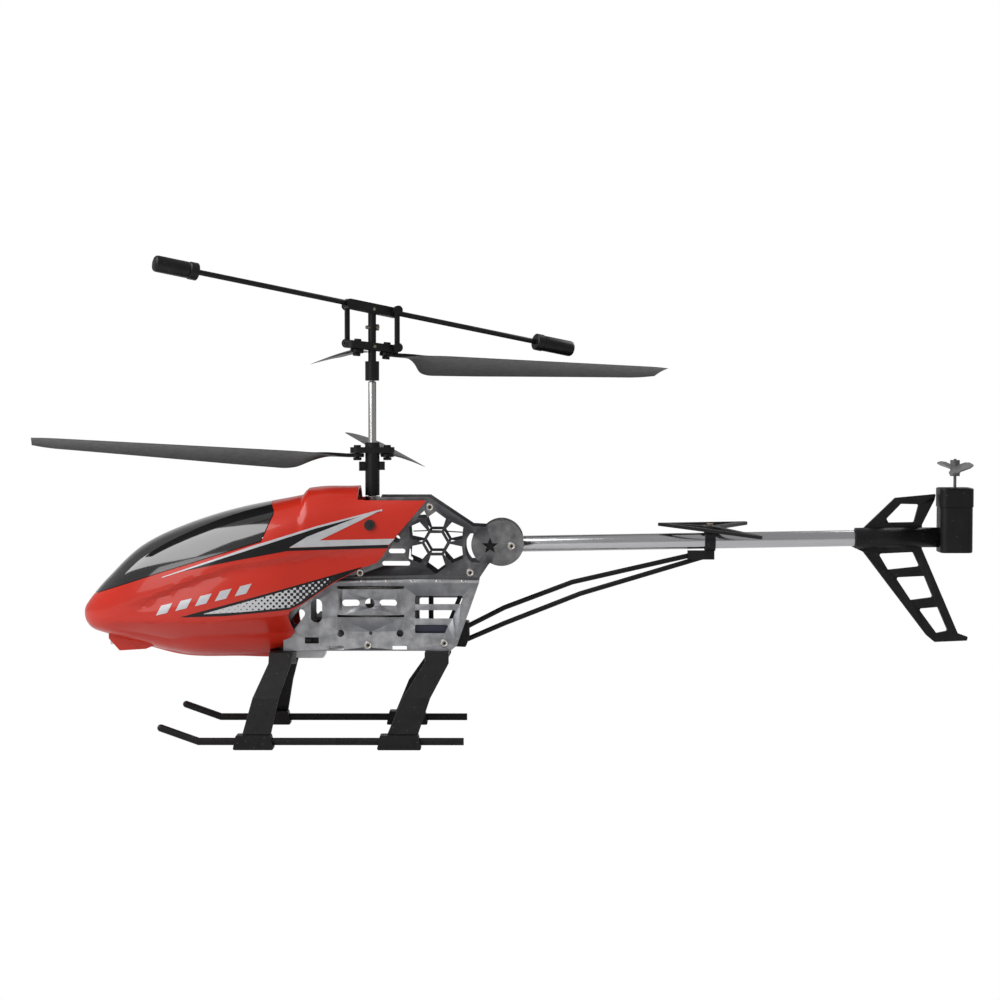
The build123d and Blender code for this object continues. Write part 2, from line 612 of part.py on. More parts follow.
def flybar_hub():
    half, width = FLYBAR_HUB_HALF_LENGTH, FLYBAR_HUB_HALF_WIDTH
    z = FLYBAR_PIVOT_Z
    body = block(-half, half, -width, width, z - 2.0, z + 2.8)
    body = fillet(body.edges().filter_by(Axis.Y), 1.0)
    body -= block(-3.2, 3.2, -POST_RADIUS - 0.3, POST_RADIUS + 0.3, z - 4, z + 4)
    body -= rod((0, -5, z), (0, 5, z), PIN_RADIUS + RUNNING_GAP)
    for side in (-1, 1):
        rod_z = z + FLYBAR_ROD_LIFT
        inner, outer = side * FLYBAR_ROD_START_X, side * FLYBAR_REACH
        body -= rod((inner, 0, rod_z), (outer, 0, rod_z), FLYBAR_ROD_RADIUS)
    return body


def link_studs():
    """Pins on the flybar hub for the links, parallel to those on the grip bar."""
    inner = FLYBAR_HUB_HALF_WIDTH - STUD_ROOT
    return [stud(side * LINK_X, -side, FLYBAR_PIVOT_Z, inner) for side in (-1, 1)]


def flybar_rods():
    z = FLYBAR_PIVOT_Z + FLYBAR_ROD_LIFT
    reach = FLYBAR_REACH + WEIGHT_LENGTH / 2 - FLYBAR_ROD_CAP
    ends = [(side * FLYBAR_ROD_START_X, side * reach) for side in (-1, 1)]
    return [rod((a, 0, z), (b, 0, z), FLYBAR_ROD_RADIUS) for a, b in ends]


def flybar_weight(side):
    """A barrel with a rounded outer end and a slightly wider ring at its inner end."""
    z = FLYBAR_PIVOT_Z + FLYBAR_ROD_LIFT
    inner, outer = FLYBAR_REACH - WEIGHT_LENGTH / 2, FLYBAR_REACH + WEIGHT_LENGTH / 2
    body = rod((side * inner, 0, z), (side * outer, 0, z), WEIGHT_RADIUS)
    rim = body.edges().filter_by(GeomType.CIRCLE).sort_by(Axis.X)[-1 if side > 0 else 0]
    body = fillet(rim, WEIGHT_END_FILLET)
    ring_start = inner - WEIGHT_RING_LENGTH
    body += rod((side * ring_start, 0, z), (side * inner, 0, z), WEIGHT_RING_RADIUS)
    bore_end = outer - FLYBAR_ROD_CAP
    return body - rod((side * ring_start, 0, z), (side * bore_end, 0, z), FLYBAR_ROD_RADIUS)


def link(side):
    """Link between the two studs on one side; it stays upright as they swing."""
    tilt = radians(GRIP_TILT)
    ends = []
    for pivot in (GRIP_PIVOT_Z, FLYBAR_PIVOT_Z):
        x = side * LINK_X * cos(tilt) + LINK_LIFT * sin(tilt)
        z = pivot - side * LINK_X * sin(tilt) + LINK_LIFT * cos(tilt)
        ends.append((x, z))
    y0, y1 = sorted((-side * LINK_Y, -side * (LINK_Y + LINK_THICKNESS)))
    (xa, za), (xb, zb) = ends
    body = block(xa - LINK_WIDTH / 2, xa + LINK_WIDTH / 2, y0, y1, za, zb)
    for x, z in ends:
        body += rod((x, y0, z), (x, y1, z), LINK_EYE_RADIUS)
    for x, z in ends:
        body -= rod((x, y0 - 1, z), (x, y1 + 1, z), LINK_STUD_RADIUS + RUNNING_GAP)
    return body


# ---------------------------------------------------------------- canopy
def canopy_section(station, inset):
    x, top, bottom, half, middle = station
    points = []
    count = 20
    for i in range(count):
        a = 2 * pi * (i + 0.5) / count
        c, s = cos(a), sin(a)
        power = 2 / CANOPY_BOXINESS
        y = (half - inset) * (abs(c) ** power) * (1 if c > 0 else -1)
        reach = (top - inset - middle) if s > 0 else (middle - bottom - inset)
        z = middle + reach * (abs(s) ** power) * (1 if s > 0 else -1)
        points.append((x, y, z))
    return Wire([Edge.make_spline([Vector(*p) for p in points], periodic=True)])


def canopy_solid(inset):
    stations = list(CANOPY_STATIONS)
    if inset:
        x, top, bottom, half, middle = stations[0]
        stations[0] = (x + inset, top, bottom, half, middle)
    sections = [canopy_section(s, inset) for s in stations]
    return Part() + Solid.make_loft(sections, ruled=False)


def canopy_pieces():
    """The moulded shell and its windscreen, split along one line."""
    shell = canopy_solid(0.0) - canopy_solid(CANOPY_WALL)
    keep = Polygon(
        (-150, 30), (-50.4, 30), (-50.4, 45.2), (-43.4, 45.2), (-37.4, 54.2), (-39.6, 62.9), (-38.8, 65.4),
        (-32.4, 69.0), (-16.6, 79.8), (-3.4, 86.6), (3.4, 89.0), (9.9, 98.2), (28.6, 120.4),
        (28.6, 140), (-150, 140), align=None,
    )
    shell &= upright(Sketch() + keep, -60, 60)
    shell -= block(CANOPY_OPEN_TOP_X, 40, -60, 60, CANOPY_OPEN_TOP_Z, 150)
    shell -= block(CANOPY_OPEN_TOP_X - 3, 40, -FRAME_INNER - 3, FRAME_INNER + 3, 100, 150)
    shell -= rod((0, 0, 100), (0, 0, 150), COLLAR_RADIUS + 3.0)
    frames = FRAME_INNER + LOWER_PLATE + FREE_GAP
    shell -= block(FRAME_FRONT_X - FREE_GAP, 40, -frames, frames, LOWER_BOTTOM_Z - FREE_GAP, DECK_Z)
    lip_start = PEG_END_Y - FREE_GAP - 1.1
    for side in (-1, 1):
        outer = (PEG_X, side * 40, PEG_Z)
        shell -= rod((PEG_X, side * 10, PEG_Z), outer, GROMMET_RADIUS)
        shell -= rod((PEG_X, side * lip_start, PEG_Z), outer, GROMMET_LIP_RADIUS + 0.05)
    glass_zone = Polygon(
        SCREEN_LINE[0], SCREEN_LINE[1], SCREEN_LINE[2], (-47.4, 150), (-150, 150), (-150, 70),
        align=None,
    )
    zone = upright(Sketch() + glass_zone, -60, 60)
    return shell - zone, shell & zone


def canopy_pegs():
    """A peg on each side frame and the soft grommet that holds the canopy on it."""
    group = []
    for side in (-1, 1):
        inner, outer = side * (FRAME_INNER - PEG_DEPTH), side * PEG_END_Y
        group.append(rod((PEG_X, inner, PEG_Z), (PEG_X, outer, PEG_Z), SCREW_RADIUS - SEAT_GAP))
        face = side * (PEG_END_Y - FREE_GAP)
        back, lip = face - side * GROMMET_LENGTH, face - side
        radius = GROMMET_RADIUS - SEAT_GAP
        ring = tube((PEG_X, back, PEG_Z), (PEG_X, face, PEG_Z), radius, SCREW_RADIUS)
        ring += tube((PEG_X, lip, PEG_Z), (PEG_X, face, PEG_Z), GROMMET_LIP_RADIUS, SCREW_RADIUS)
        group.append(ring)
    return group


def chin_scoop():
    body = block(-131.0, -112.0, -7, 7, 44.6, 60.0)
    body = fillet(body.edges().filter_by(Axis.Z), 3.0)
    return body - canopy_solid(0.0) - rod((-132, 0, 47.6), (-126, 0, 47.6), 1.5)


# ---------------------------------------------------------------- inside the frames
def battery_tray():
    half = FRAME_INNER - SEAT_GAP
    top = TRAY_Z + TRAY_THICKNESS
    return block(3.0, 37.8, -half, half, TRAY_Z, top) + block(3.0, 4.2, -half, half, top, 58.0)


def battery():
    body = block(4.5, 37.5, -13.5, 13.5, TRAY_Z + TRAY_THICKNESS, BATTERY_TOP_Z)
    return fillet(body.edges().filter_by(Axis.Y), 1.2)


def rear_brace():
    """Slanted post behind the vents, and the upright post ahead of it."""
    slanted = rod((46.9, 0, DECK_Z - 0.6), (38.9, 0, 58.0), 1.1)
    return slanted - block(30, 60, -10, 10, 40, 58.2)


def tray_post():
    return rod((29.3, 0, BATTERY_TOP_Z), (29.3, 0, 77.0), 1.25)


def circuit_board():
    half = FRAME_INNER - SEAT_GAP
    board = block(-42.5, -29.0, -half, half, 71.6, 72.8)
    for x, y, sx, sy, h in ((-38, -7, 5, 6, 1.6), (-35, 5, 7, 4, 1.2), (-33, 11, 3, 5, 2.4)):
        board += block(x - sx / 2, x + sx / 2, y - sy / 2, y + sy / 2, 72.8, 72.8 + h)
    return board


def switch_body():
    y = -FRAME_INNER + SEAT_GAP
    body = block(-36.0, -24.9, y, y + SWITCH_DEPTH, 46.6, 53.4)
    return body - block(-33.4, -25.2, y - 1, y + SLIDER_DEPTH + SLIDING_GAP, 48.5, 51.4)


def switch_slider():
    y = -FRAME_INNER + SEAT_GAP
    return block(-32.4, -29.4, y - SLIDER_REACH, y + SLIDER_DEPTH, 48.95, 50.95)


def lead_socket():
    body = block(-38.2, -23.6, -6, 6, 40.0, 44.6)
    return fillet(body.edges().filter_by(Axis.Y).group_by(Axis.Z)[0], 1.6) - block(
        -40, -36, -4, 4, 41.4, 43.4
    )


# ---------------------------------------------------------------- tail
def boom_axis(x):
    return (x, 0, boom_z(x))


def tail_boom():
    return tube(boom_axis(BOOM_START_X), boom_axis(BOOM_END_X), BOOM_RADIUS, BOOM_RADIUS - BOOM_WALL)


def boom_clamp():
    half = FRAME_INNER - SEAT_GAP
    body = upright(Sketch() + disc(BOSS_X, BOSS_Z, BOSS_RADIUS - 0.6), -half, half)
    body += block(52.5, 64.0, -half, half, 90.5, 103.4)
    body -= rod(boom_axis(BOOM_START_X - FREE_GAP), boom_axis(90), BOOM_RADIUS + SEAT_GAP)
    x, z = UPPER_SCREWS[-1]
    for side in (-1, 1):
        start, end = side * (FRAME_INNER - SCREW_DEPTH - FREE_GAP), side * (FRAME_INNER + 1)
        body -= rod((x, start, z), (x, end, z), SCREW_RADIUS + SEAT_GAP)
    return body


def stabiliser():
    """Swallow-tailed frame of thin strips, screwed on top of the boom."""
    half, w = STABILISER_HALF_SPAN, STABILISER_STRIP
    apex, tip, notch = -26.0, 22.5, 4.0
    outer = Polygon(
        (apex, 0), (tip - 1, -half), (tip, -half + 2), (notch, 0), (tip, half - 2), (tip - 1, half),
        align=None,
    )
    sketch = Sketch() + outer
    for side in (-1, 1):
        window = outline(
            ((apex + 2.4 * w, side * 1.3), (tip - 2.6 * w, side * (half - 2.6 * w)),
             (notch - 1.2 * w, side * 1.3)), 0.5
        )
        sketch -= window
    sketch += Circle(5.0)
    sketch -= Circle(SCREW_RADIUS)
    plate = extrude(sketch, STABILISER_THICKNESS)
    top = boom_z(STABILISER_X) + BOOM_RADIUS + CLAMP_WALL + 0.05
    lift = 0.45
    return (
        Pos(STABILISER_X, 0, top + lift)
        * Rot(STABILISER_ROLL, STABILISER_PITCH - 0.5 * BOOM_SLOPE, 0)
        * plate
    )


def stabiliser_clamp():
    x = STABILISER_X
    outer = BOOM_RADIUS + CLAMP_WALL
    a, b = boom_axis(x - 2.6), boom_axis(x + 2.6)
    body = rod(a, b, outer)
    z = boom_z(x)
    body += block(x - 2.2, x + 2.2, -2.2, 2.2, z - 9.0, z - BOOM_RADIUS)
    body += block(x - 11.0, x + 2.2, -2.4, 2.4, z - 9.4, z - BOOM_RADIUS - 1.0)
    body -= rod(boom_axis(x - 14), boom_axis(x + 8), BOOM_RADIUS + SEAT_GAP)
    for path in rod_paths():
        body -= bent_rod(path, ROD_RADIUS + SEAT_GAP)
    return body


def stabiliser_screw():
    top = boom_z(STABILISER_X) + BOOM_RADIUS + CLAMP_WALL + 0.5 + STABILISER_THICKNESS
    x = STABILISER_X
    return rod((x, 0, top + 0.35), (x, 0, top + 1.3), 1.7) + rod(
        (x, 0, top - STABILISER_THICKNESS - 0.3), (x, 0, top + 0.35), SCREW_RADIUS - 0.12
    )


def rod_paths():
    """Upper and lower support rod, from the frame's lower corner up to the clamp."""
    z = boom_z(STABILISER_X)
    return (
        ((44.0, 53.6), (66.0, 64.8), (100.0, 77.6), (162.4, z - 6.6)),
        ((44.0, 47.4), (66.0, 56.9), (104.0, 71.8), (165.6, z - 8.2)),
    )


def bent_rod(path, radius):
    body = None
    for (xa, za), (xb, zb) in zip(path, path[1:]):
        piece = rod((xa, 0, za), (xb, 0, zb), radius)
        body = piece if body is None else body + piece
    for x, z in path[1:-1]:
        body += Pos(x, 0, z) * Sphere(radius)
    return body


def rod_bracket():
    sketch = outline(((38.0, 46.0), (46.8, 45.6), (48.6, 50.4), (48.4, 58.0), (44.0, 58.0)), 0.8)
    body = upright(sketch, -6.5, 6.5)
    for path in rod_paths():
        body -= bent_rod(path, ROD_RADIUS + SEAT_GAP)
    bar = block(38.9, 41.8, -FRAME_INNER + SEAT_GAP, FRAME_INNER - SEAT_GAP, 50.0, 54.0)
    return body + bar


def fin():
    """Fin plate with its barrel over the boom's end; X from that end."""
    profile = outline(
        ((-24, 96.4), (-20.8, 99.8), (-16, 104.6), (-0.2, 119.8), (20, 121.7), (19.4, 118.8),
         (13.2, 106.4), (13.2, 94.4), (31.6, 51.8), (36.6, 50.0), (36.2, 48.1), (20, 47.4),
         (15.9, 50.8), (-16, 92.6)), 0.4
    )
    windows = (
        ((-4.6, 109.4), (2.6, 116.8), (11.6, 116.6), (9.2, 107.6), (-3.6, 107.4)),
        ((-8.4, 91.8), (8.8, 92.6), (12.2, 85.4), (-3.6, 83.7)),
        ((0.2, 79.9), (14.6, 80.6), (19, 69.9), (7.9, 68.4)),
        ((11.8, 64.2), (21.4, 65.0), (26.6, 53.0), (20.9, 51.8)),
    )
    for window in windows:
        profile -= outline(window, 0.8)
    body = Pos(BOOM_END_X, 0, 0) * upright(profile, -FIN_THICKNESS / 2, FIN_THICKNESS / 2)
    barrel_start, barrel_end = BOOM_END_X - 20.5, BOOM_END_X + FIN_BARREL_CAP
    body += rod(boom_axis(barrel_start), boom_axis(barrel_end), BOOM_RADIUS + FIN_BARREL_WALL)
    body -= rod(boom_axis(barrel_start - 5), boom_axis(BOOM_END_X + FREE_GAP), BOOM_RADIUS + SEAT_GAP)
    z = boom_z(barrel_end)
    arm_end = TAIL_MOTOR_X - TAIL_BOX / 2 - SEAT_GAP
    return body + rod((barrel_end - 1, 0, z), (arm_end, 0, z), ARM_RADIUS)


def tail_housing():
    low, split = TAIL_BOX_LOW_Z, TAIL_CAP_Z
    half = TAIL_BOX / 2
    x = TAIL_MOTOR_X
    body = block(x - half, x + half, -half, half, low, split)
    body = fillet(body.edges().filter_by(Axis.Z), 3.4)
    body = fillet(body.edges().group_by(Axis.Z)[0], 0.8)
    return body - rod((x, 0, low + TAIL_BOX_FLOOR), (x, 0, split + 1), TAIL_MOTOR_RADIUS + RUNNING_GAP)


def tail_cap():
    half = TAIL_BOX / 2 + TAIL_CAP_LIP
    x, top = TAIL_MOTOR_X, TAIL_BOX_TOP_Z
    body = block(x - half, x + half, -half, half, TAIL_CAP_Z, top)
    body = fillet(body.edges().filter_by(Axis.Z), 3.6)
    body = fillet(body.edges().group_by(Axis.Z)[-1], 0.9)
    body -= rod((x, 0, TAIL_CAP_Z - 1), (x, 0, TAIL_MOTOR_TOP_Z + 1), TAIL_MOTOR_RADIUS + RUNNING_GAP)
    return body - rod((x, 0, TAIL_CAP_Z), (x, 0, top + 1), TAIL_SHAFT_RADIUS + FREE_GAP)


def tail_motor():
    x, foot = TAIL_MOTOR_X, TAIL_BOX_LOW_Z + TAIL_BOX_FLOOR
    body = rod((x, 0, foot), (x, 0, TAIL_MOTOR_TOP_Z), TAIL_MOTOR_RADIUS)
    body = fillet(body.edges().filter_by(GeomType.CIRCLE), 0.5)
    bore = TAIL_SHAFT_RADIUS + RUNNING_GAP
    return body - rod((x, 0, TAIL_SHAFT_FOOT_Z - 1), (x, 0, TAIL_MOTOR_TOP_Z + 1), bore)


def tail_shaft():
    top = TAIL_HUB_Z + TAIL_HUB_HEIGHT + 0.6
    return rod((TAIL_MOTOR_X, 0, TAIL_SHAFT_FOOT_Z), (TAIL_MOTOR_X, 0, top), TAIL_SHAFT_RADIUS)


def tail_rotor():
    z = TAIL_HUB_Z + TAIL_HUB_HEIGHT / 2
    hub = rod((0, 0, TAIL_HUB_Z), (0, 0, TAIL_HUB_Z + TAIL_HUB_HEIGHT), TAIL_HUB_RADIUS)
    for side in (-1, 1):
        sections = []
        for s, chord, thick, pitch in (
            (1.0, 3.0, 1.8, TAIL_PITCH), (6.0, 0.8 * TAIL_CHORD, 1.3, TAIL_PITCH + 4),
            (12.0, TAIL_CHORD, 1.1, TAIL_PITCH), (22.0, 0.92 * TAIL_CHORD, 0.9, TAIL_PITCH - 5),
            (TAIL_ROTOR_RADIUS, 0.45 * TAIL_CHORD, 0.7, TAIL_PITCH - 8),
        ):
            across = Vector(cos(radians(pitch)), 0, -side * sin(radians(pitch)))
            up = Vector(side * sin(radians(pitch)), 0, cos(radians(pitch)))
            middle = Vector(0, side * s, z)
            sections.append(Wire.make_polygon([
                middle + across * (chord / 2) + up * (thick / 2),
                middle - across * (chord / 2) + up * (thick / 2),
                middle - across * (chord / 2) - up * (thick / 2),
                middle + across * (chord / 2) - up * (thick / 2)], close=True))
        hub += Part() + Solid.make_loft(sections, ruled=True)
    hub = Pos(TAIL_MOTOR_X, 0, 0) * hub
    low, high = TAIL_HUB_Z - 1, TAIL_HUB_Z + TAIL_HUB_HEIGHT + 1
    return hub - rod((TAIL_MOTOR_X, 0, low), (TAIL_MOTOR_X, 0, high), TAIL_SHAFT_RADIUS)


# ---------------------------------------------------------------- landing gear
def skid():
    y = -SKID_Y
    body = rod((SKID_FRONT_X, y, SKID_Z), (SKID_REAR_X, y, SKID_Z), SKID_RADIUS)
    body += Pos(SKID_FRONT_X, y, SKID_Z) * Sphere(SKID_RADIUS)
    body += rod((SKID_FRONT_X, y, SKID_Z), (SKID_TIP_X, y, SKID_TIP_Z), SKID_RADIUS)
    return body + Pos(SKID_TIP_X, y, SKID_TIP_Z) * Sphere(SKID_RADIUS)


def shoe(ends):
    x0, x1 = ends
    y = -SKID_Y
    profile = outline(((x0, 0), (x1, 0), (x1 - 1.5, SHOE_HEIGHT), (x0 + 1.5, SHOE_HEIGHT)), 0.8)
    body = upright(profile, y - SHOE_HALF_WIDTH, y + SHOE_HALF_WIDTH)
    return body - rod((x0 - 5, y, SKID_Z), (x1 + 5, y, SKID_Z), SKID_RADIUS + SEAT_GAP)


def strut(foot, head):
    """Flat leg from the shoe up and inwards to the crossbar."""
    t = STRUT_THICKNESS / 2
    # x0, x1, y and z of each level
    levels = (
        (foot[0], foot[1], -SKID_Y, SHOE_HEIGHT + SEAT_GAP),
        (foot[0] * 0.6 + head[0] * 0.4, foot[1] * 0.6 + head[1] * 0.4, -SKID_Y + 6.5, 24.0),
        (head[0], head[1], -CROSSBAR_HALF_WIDTH - 4.4, 39.4),
        (head[0], head[1], -CROSSBAR_HALF_WIDTH - SEAT_GAP - t, CROSSBAR_Z + 2.7),
    )
    sections = []
    for x0, x1, y, z in levels:
        corners = [Vector(x0, y - t, z), Vector(x1, y - t, z), Vector(x1, y + t, z), Vector(x0, y + t, z)]
        sections.append(Wire.make_polygon(corners, close=True))
    return Part() + Solid.make_loft(sections, ruled=True)


def crossbar(head):
    half = CROSSBAR_HALF_WIDTH
    return block(head[0], head[1], -half, half, CROSSBAR_Z, LOWER_BOTTOM_Z - SEAT_GAP)


# ---------------------------------------------------------------- everything
def group(*shapes):
    """Several separate solids that share one node."""
    return Compound(children=[solid for shape in shapes for solid in shape.solids()])


os.makedirs("parts", exist_ok=True)

upper = upper_frame()
write("upper_side_frame_right", upper - access_window())
write("upper_side_frame_left", mirrored(upper))
write("lower_side_frame_left", lower_frame_left())
write("lower_side_frame_right", lower_frame_right())
write("mid_deck", mid_deck())
screws = frame_screws(UPPER_SCREWS, FRAME_INNER + UPPER_PLATE)
screws += frame_screws(LOWER_SCREWS, FRAME_INNER + LOWER_PLATE)
write("frame_screws", group(*screws, *deck_rivets(), stabiliser_screw()))
spacer_places = UPPER_SCREWS[:3] + LOWER_SCREWS
write("frame_spacers", group(*spacers(spacer_places), rear_brace(), tray_post()))
write("motor_plate", motor_plate())
write("upper_bearing_block", bearing_block())
deck_top = DECK_Z + DECK_THICKNESS
plate_top = MOTOR_PLATE_Z + MOTOR_PLATE_THICKNESS
cap_foot = BEARING_BLOCK_TOP_Z
cap = bearing(cap_foot, LOWER_SLEEVE_FOOT_Z - FREE_GAP, CAP_RADIUS, OUTER_SHAFT_RADIUS)
cap += bearing(cap_foot, cap_foot + CAP_FLANGE, CAP_FLANGE_RADIUS, OUTER_SHAFT_RADIUS)
write("shaft_bearings", group(
    bearing(DECK_Z, deck_top, BEARING_RADIUS, OUTER_SHAFT_RADIUS),
    bearing(cap_foot - BEARING_HEIGHT, cap_foot, BEARING_RADIUS, OUTER_SHAFT_RADIUS),
    bearing(MOTOR_PLATE_Z, plate_top, FOOT_BEARING_RADIUS, INNER_SHAFT_RADIUS), cap))
write("main_motors", group(main_motor(-1), main_motor(1)))
for name, side, gear_z in (("left", -1, LOWER_GEAR_Z), ("right", 1, UPPER_GEAR_Z)):
    wheel, shaft = pinion(side, gear_z)
    write(f"{name}_pinion", group(wheel - shaft, shaft))

# the tube between the lower rotor and its gear
bore = INNER_SHAFT_RADIUS + RUNNING_GAP
shaft_ends = (0, 0, UPPER_GEAR_Z), (0, 0, OUTER_SHAFT_TOP_Z)
write("outer_shaft", tube(*shaft_ends, OUTER_SHAFT_RADIUS, bore))
write("lower_rotor_gear", main_gear(UPPER_GEAR_Z, OUTER_SHAFT_RADIUS, UPPER_GEAR_HUB))
turn = Rot(0, 0, LOWER_HUB_ANGLE)
write("lower_hub", turn * lower_hub())
write("lower_hub_screws", turn * group(*lower_hub_screws()))
lower_root_z = LOWER_HUB_Z - SLIDING_GAP - BLADE_ROOT_THICKNESS
left, right = placed_blades(1, LOWER_ROOT_X, lower_root_z, LOWER_FOLDS)
write("lower_blade_left", turn * left)
write("lower_blade_right", turn * right)

# the solid shaft inside it, between the upper rotor and its gear
write("inner_shaft", rod((0, 0, SHAFT_FOOT_Z), (0, 0, INNER_SHAFT_TOP_Z), INNER_SHAFT_RADIUS))
write("upper_rotor_gear", main_gear(LOWER_GEAR_Z, INNER_SHAFT_RADIUS, LOWER_GEAR_HUB))
collar_ends = (0, 0, OUTER_SHAFT_TOP_Z + FREE_GAP), (0, 0, POST_FOOT_Z)
collar = tube(*collar_ends, COLLAR_RADIUS, INNER_SHAFT_RADIUS)
write("mast_collar", fillet(collar.edges().filter_by(GeomType.CIRCLE).sort_by(Axis.Z)[-1], 0.5))
turn = Rot(0, 0, HEAD_ANGLE)
write("head_post", turn * head_post())
write("head_pins", turn * group(*teeter_pins(), post_screw()))
tilt = turn * about(GRIP_PIVOT_Z, GRIP_TILT)
write("upper_grip_bar", tilt * grip_bar())
write("upper_grip_screws", tilt * group(*grip_screws()))
upper_root_z = GRIP_Z - SLIDING_GAP - BLADE_ROOT_THICKNESS
left, right = placed_blades(-1, UPPER_ROOT_X, upper_root_z, UPPER_FOLDS)
write("upper_blade_left", tilt * left)
write("upper_blade_right", tilt * right)

# the flybar leans further than the line of its link studs
lean = turn * about(FLYBAR_PIVOT_Z, FLYBAR_TILT)
stud_line = turn * about(FLYBAR_PIVOT_Z, GRIP_TILT)
hub = lean * flybar_hub()
for piece in link_studs():
    hub += stud_line * piece
write("flybar_hub", hub)
write("flybar_rods", lean * group(*flybar_rods()))
write("flybar_weights", lean * group(flybar_weight(-1), flybar_weight(1)))
write("link_left", turn * link(-1))
write("link_right", turn * link(1))

shell, screen = canopy_pieces()
write("canopy", shell)
write("windscreen", screen)
write("canopy_pegs", group(*canopy_pegs()))
write("chin_scoop", chin_scoop())
write("nose_lamp", rod((-131.6, 0, 47.6), (-126.4, 0, 47.6), 1.4))

write("battery_tray", battery_tray())
write("battery", battery())
write("circuit_board", circuit_board())
write("switch_body", switch_body())
write("switch_slider", switch_slider())
write("lead_socket", lead_socket())

write("tail_boom", tail_boom())
write("boom_clamp", boom_clamp())
write("stabiliser", stabiliser())
write("stabiliser_clamp", stabiliser_clamp())
write("support_rods", group(*(bent_rod(path, ROD_RADIUS) for path in rod_paths())))
write("rod_bracket", rod_bracket())
write("tail_fin", fin())
write("tail_motor_housing", tail_housing())
write("tail_motor_cap", tail_cap())
write("tail_motor", tail_motor())
write("tail_rotor", group(tail_rotor(), tail_shaft()))

legs = group(*(strut(foot, head) for foot, head in zip(STRUT_FEET, STRUT_HEADS)))
soles = group(*(shoe(ends) for ends in SHOES))
write("struts_left", legs)
write("struts_right", mirrored(legs))
write("crossbars", group(*(crossbar(head) for head in STRUT_HEADS)))
write("skid_shoes", group(soles, mirrored(soles)))
write("skid_tubes", group(skid(), mirrored(skid())))
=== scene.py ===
"""The looks of a coaxial model helicopter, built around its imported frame.

Every length is in millimetres until it meets a mesh. +Z is up, the nose points to -X and
the port side is -Y. The origin is the point of the mast's axis at the height of the soles.
"""

import json
import logging
import math
from dataclasses import dataclass, field
from enum import Enum

import bmesh
import bpy
import numpy as np
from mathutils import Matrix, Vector

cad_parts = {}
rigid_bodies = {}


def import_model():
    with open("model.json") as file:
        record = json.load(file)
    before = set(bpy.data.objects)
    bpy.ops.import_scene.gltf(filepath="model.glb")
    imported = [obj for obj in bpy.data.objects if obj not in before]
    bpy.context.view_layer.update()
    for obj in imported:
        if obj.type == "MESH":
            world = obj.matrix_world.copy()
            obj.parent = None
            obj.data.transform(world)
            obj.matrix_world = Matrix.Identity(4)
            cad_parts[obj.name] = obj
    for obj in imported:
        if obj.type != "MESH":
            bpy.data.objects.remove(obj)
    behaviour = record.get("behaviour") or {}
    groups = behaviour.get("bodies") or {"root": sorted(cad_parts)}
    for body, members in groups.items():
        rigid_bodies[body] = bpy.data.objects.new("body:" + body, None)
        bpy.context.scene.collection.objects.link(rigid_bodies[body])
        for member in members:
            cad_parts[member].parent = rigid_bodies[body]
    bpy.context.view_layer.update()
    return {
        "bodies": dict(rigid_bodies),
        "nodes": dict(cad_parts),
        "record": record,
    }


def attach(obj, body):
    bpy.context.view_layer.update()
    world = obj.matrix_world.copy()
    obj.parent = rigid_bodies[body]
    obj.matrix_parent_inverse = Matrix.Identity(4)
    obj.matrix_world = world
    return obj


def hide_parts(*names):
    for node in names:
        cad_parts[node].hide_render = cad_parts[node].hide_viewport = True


LOG = logging.getLogger("helicopter")
MM = 0.001
Point = tuple[float, float, float]
Colour = tuple[float, float, float]


# ------------------------------------------------------------------ meshes
def lift(points: np.ndarray) -> list[list[float]]:
    """Millimetre points as rows of metres for a mesh."""
    return (np.asarray(points, float).reshape(-1, 3) * MM).tolist()


def finish_mesh(obj: bpy.types.Object, sharp: float = 35.0) -> bpy.types.Object:
    """Points the faces outwards, merges doubles and shades smooth up to an angle.

    Args:
        obj: the object whose mesh is tidied.
        sharp: edges that turn more than this many degrees stay sharp.

    Returns:
        The same object.
    """
    bm = bmesh.new()
    bm.from_mesh(obj.data)
    bmesh.ops.remove_doubles(bm, verts=bm.verts, dist=2e-6)
    bmesh.ops.recalc_face_normals(bm, faces=bm.faces)
    bm.to_mesh(obj.data)
    bm.free()
    obj.data.shade_smooth()
    obj.data.set_sharp_from_angle(angle=math.radians(sharp))
    return obj


def new_object(name: str, points: np.ndarray, faces: list, sharp: float = 35.0) -> bpy.types.Object:
    """A mesh object from millimetre points and faces, in the scene.

    Args:
        name: the piece's name.
        points: an array of points, in millimetres.
        faces: lists of point numbers.
        sharp: the angle in degrees past which an edge stays sharp.

    Returns:
        The new object, its faces pointing outwards.
    """
    mesh = bpy.data.meshes.new(name)
    mesh.from_pydata(lift(points), [], faces)
    mesh.validate()
    obj = bpy.data.objects.new(name, mesh)
    bpy.context.scene.collection.objects.link(obj)
    return finish_mesh(obj, sharp)


def grid_faces(rows: int, cols: int, wrap: bool = False, first: int = 0) -> list[list[int]]:
    """Quads of a grid of points numbered row by row.

    Args:
        rows: number of rows.
        cols: number of points in a row.
        wrap: whether the last column meets the first.
        first: the number of the first point.

    Returns:
        Lists of four point numbers.
    """
    numbers = first + np.arange(rows * cols).reshape(rows, cols)
    if wrap:
        numbers = np.concatenate([numbers, numbers[:, :1]], axis=1)
    quads = np.stack([numbers[:-1, :-1], numbers[:-1, 1:], numbers[1:, 1:], numbers[1:, :-1]], axis=-1)
    return quads.reshape(-1, 4).tolist()


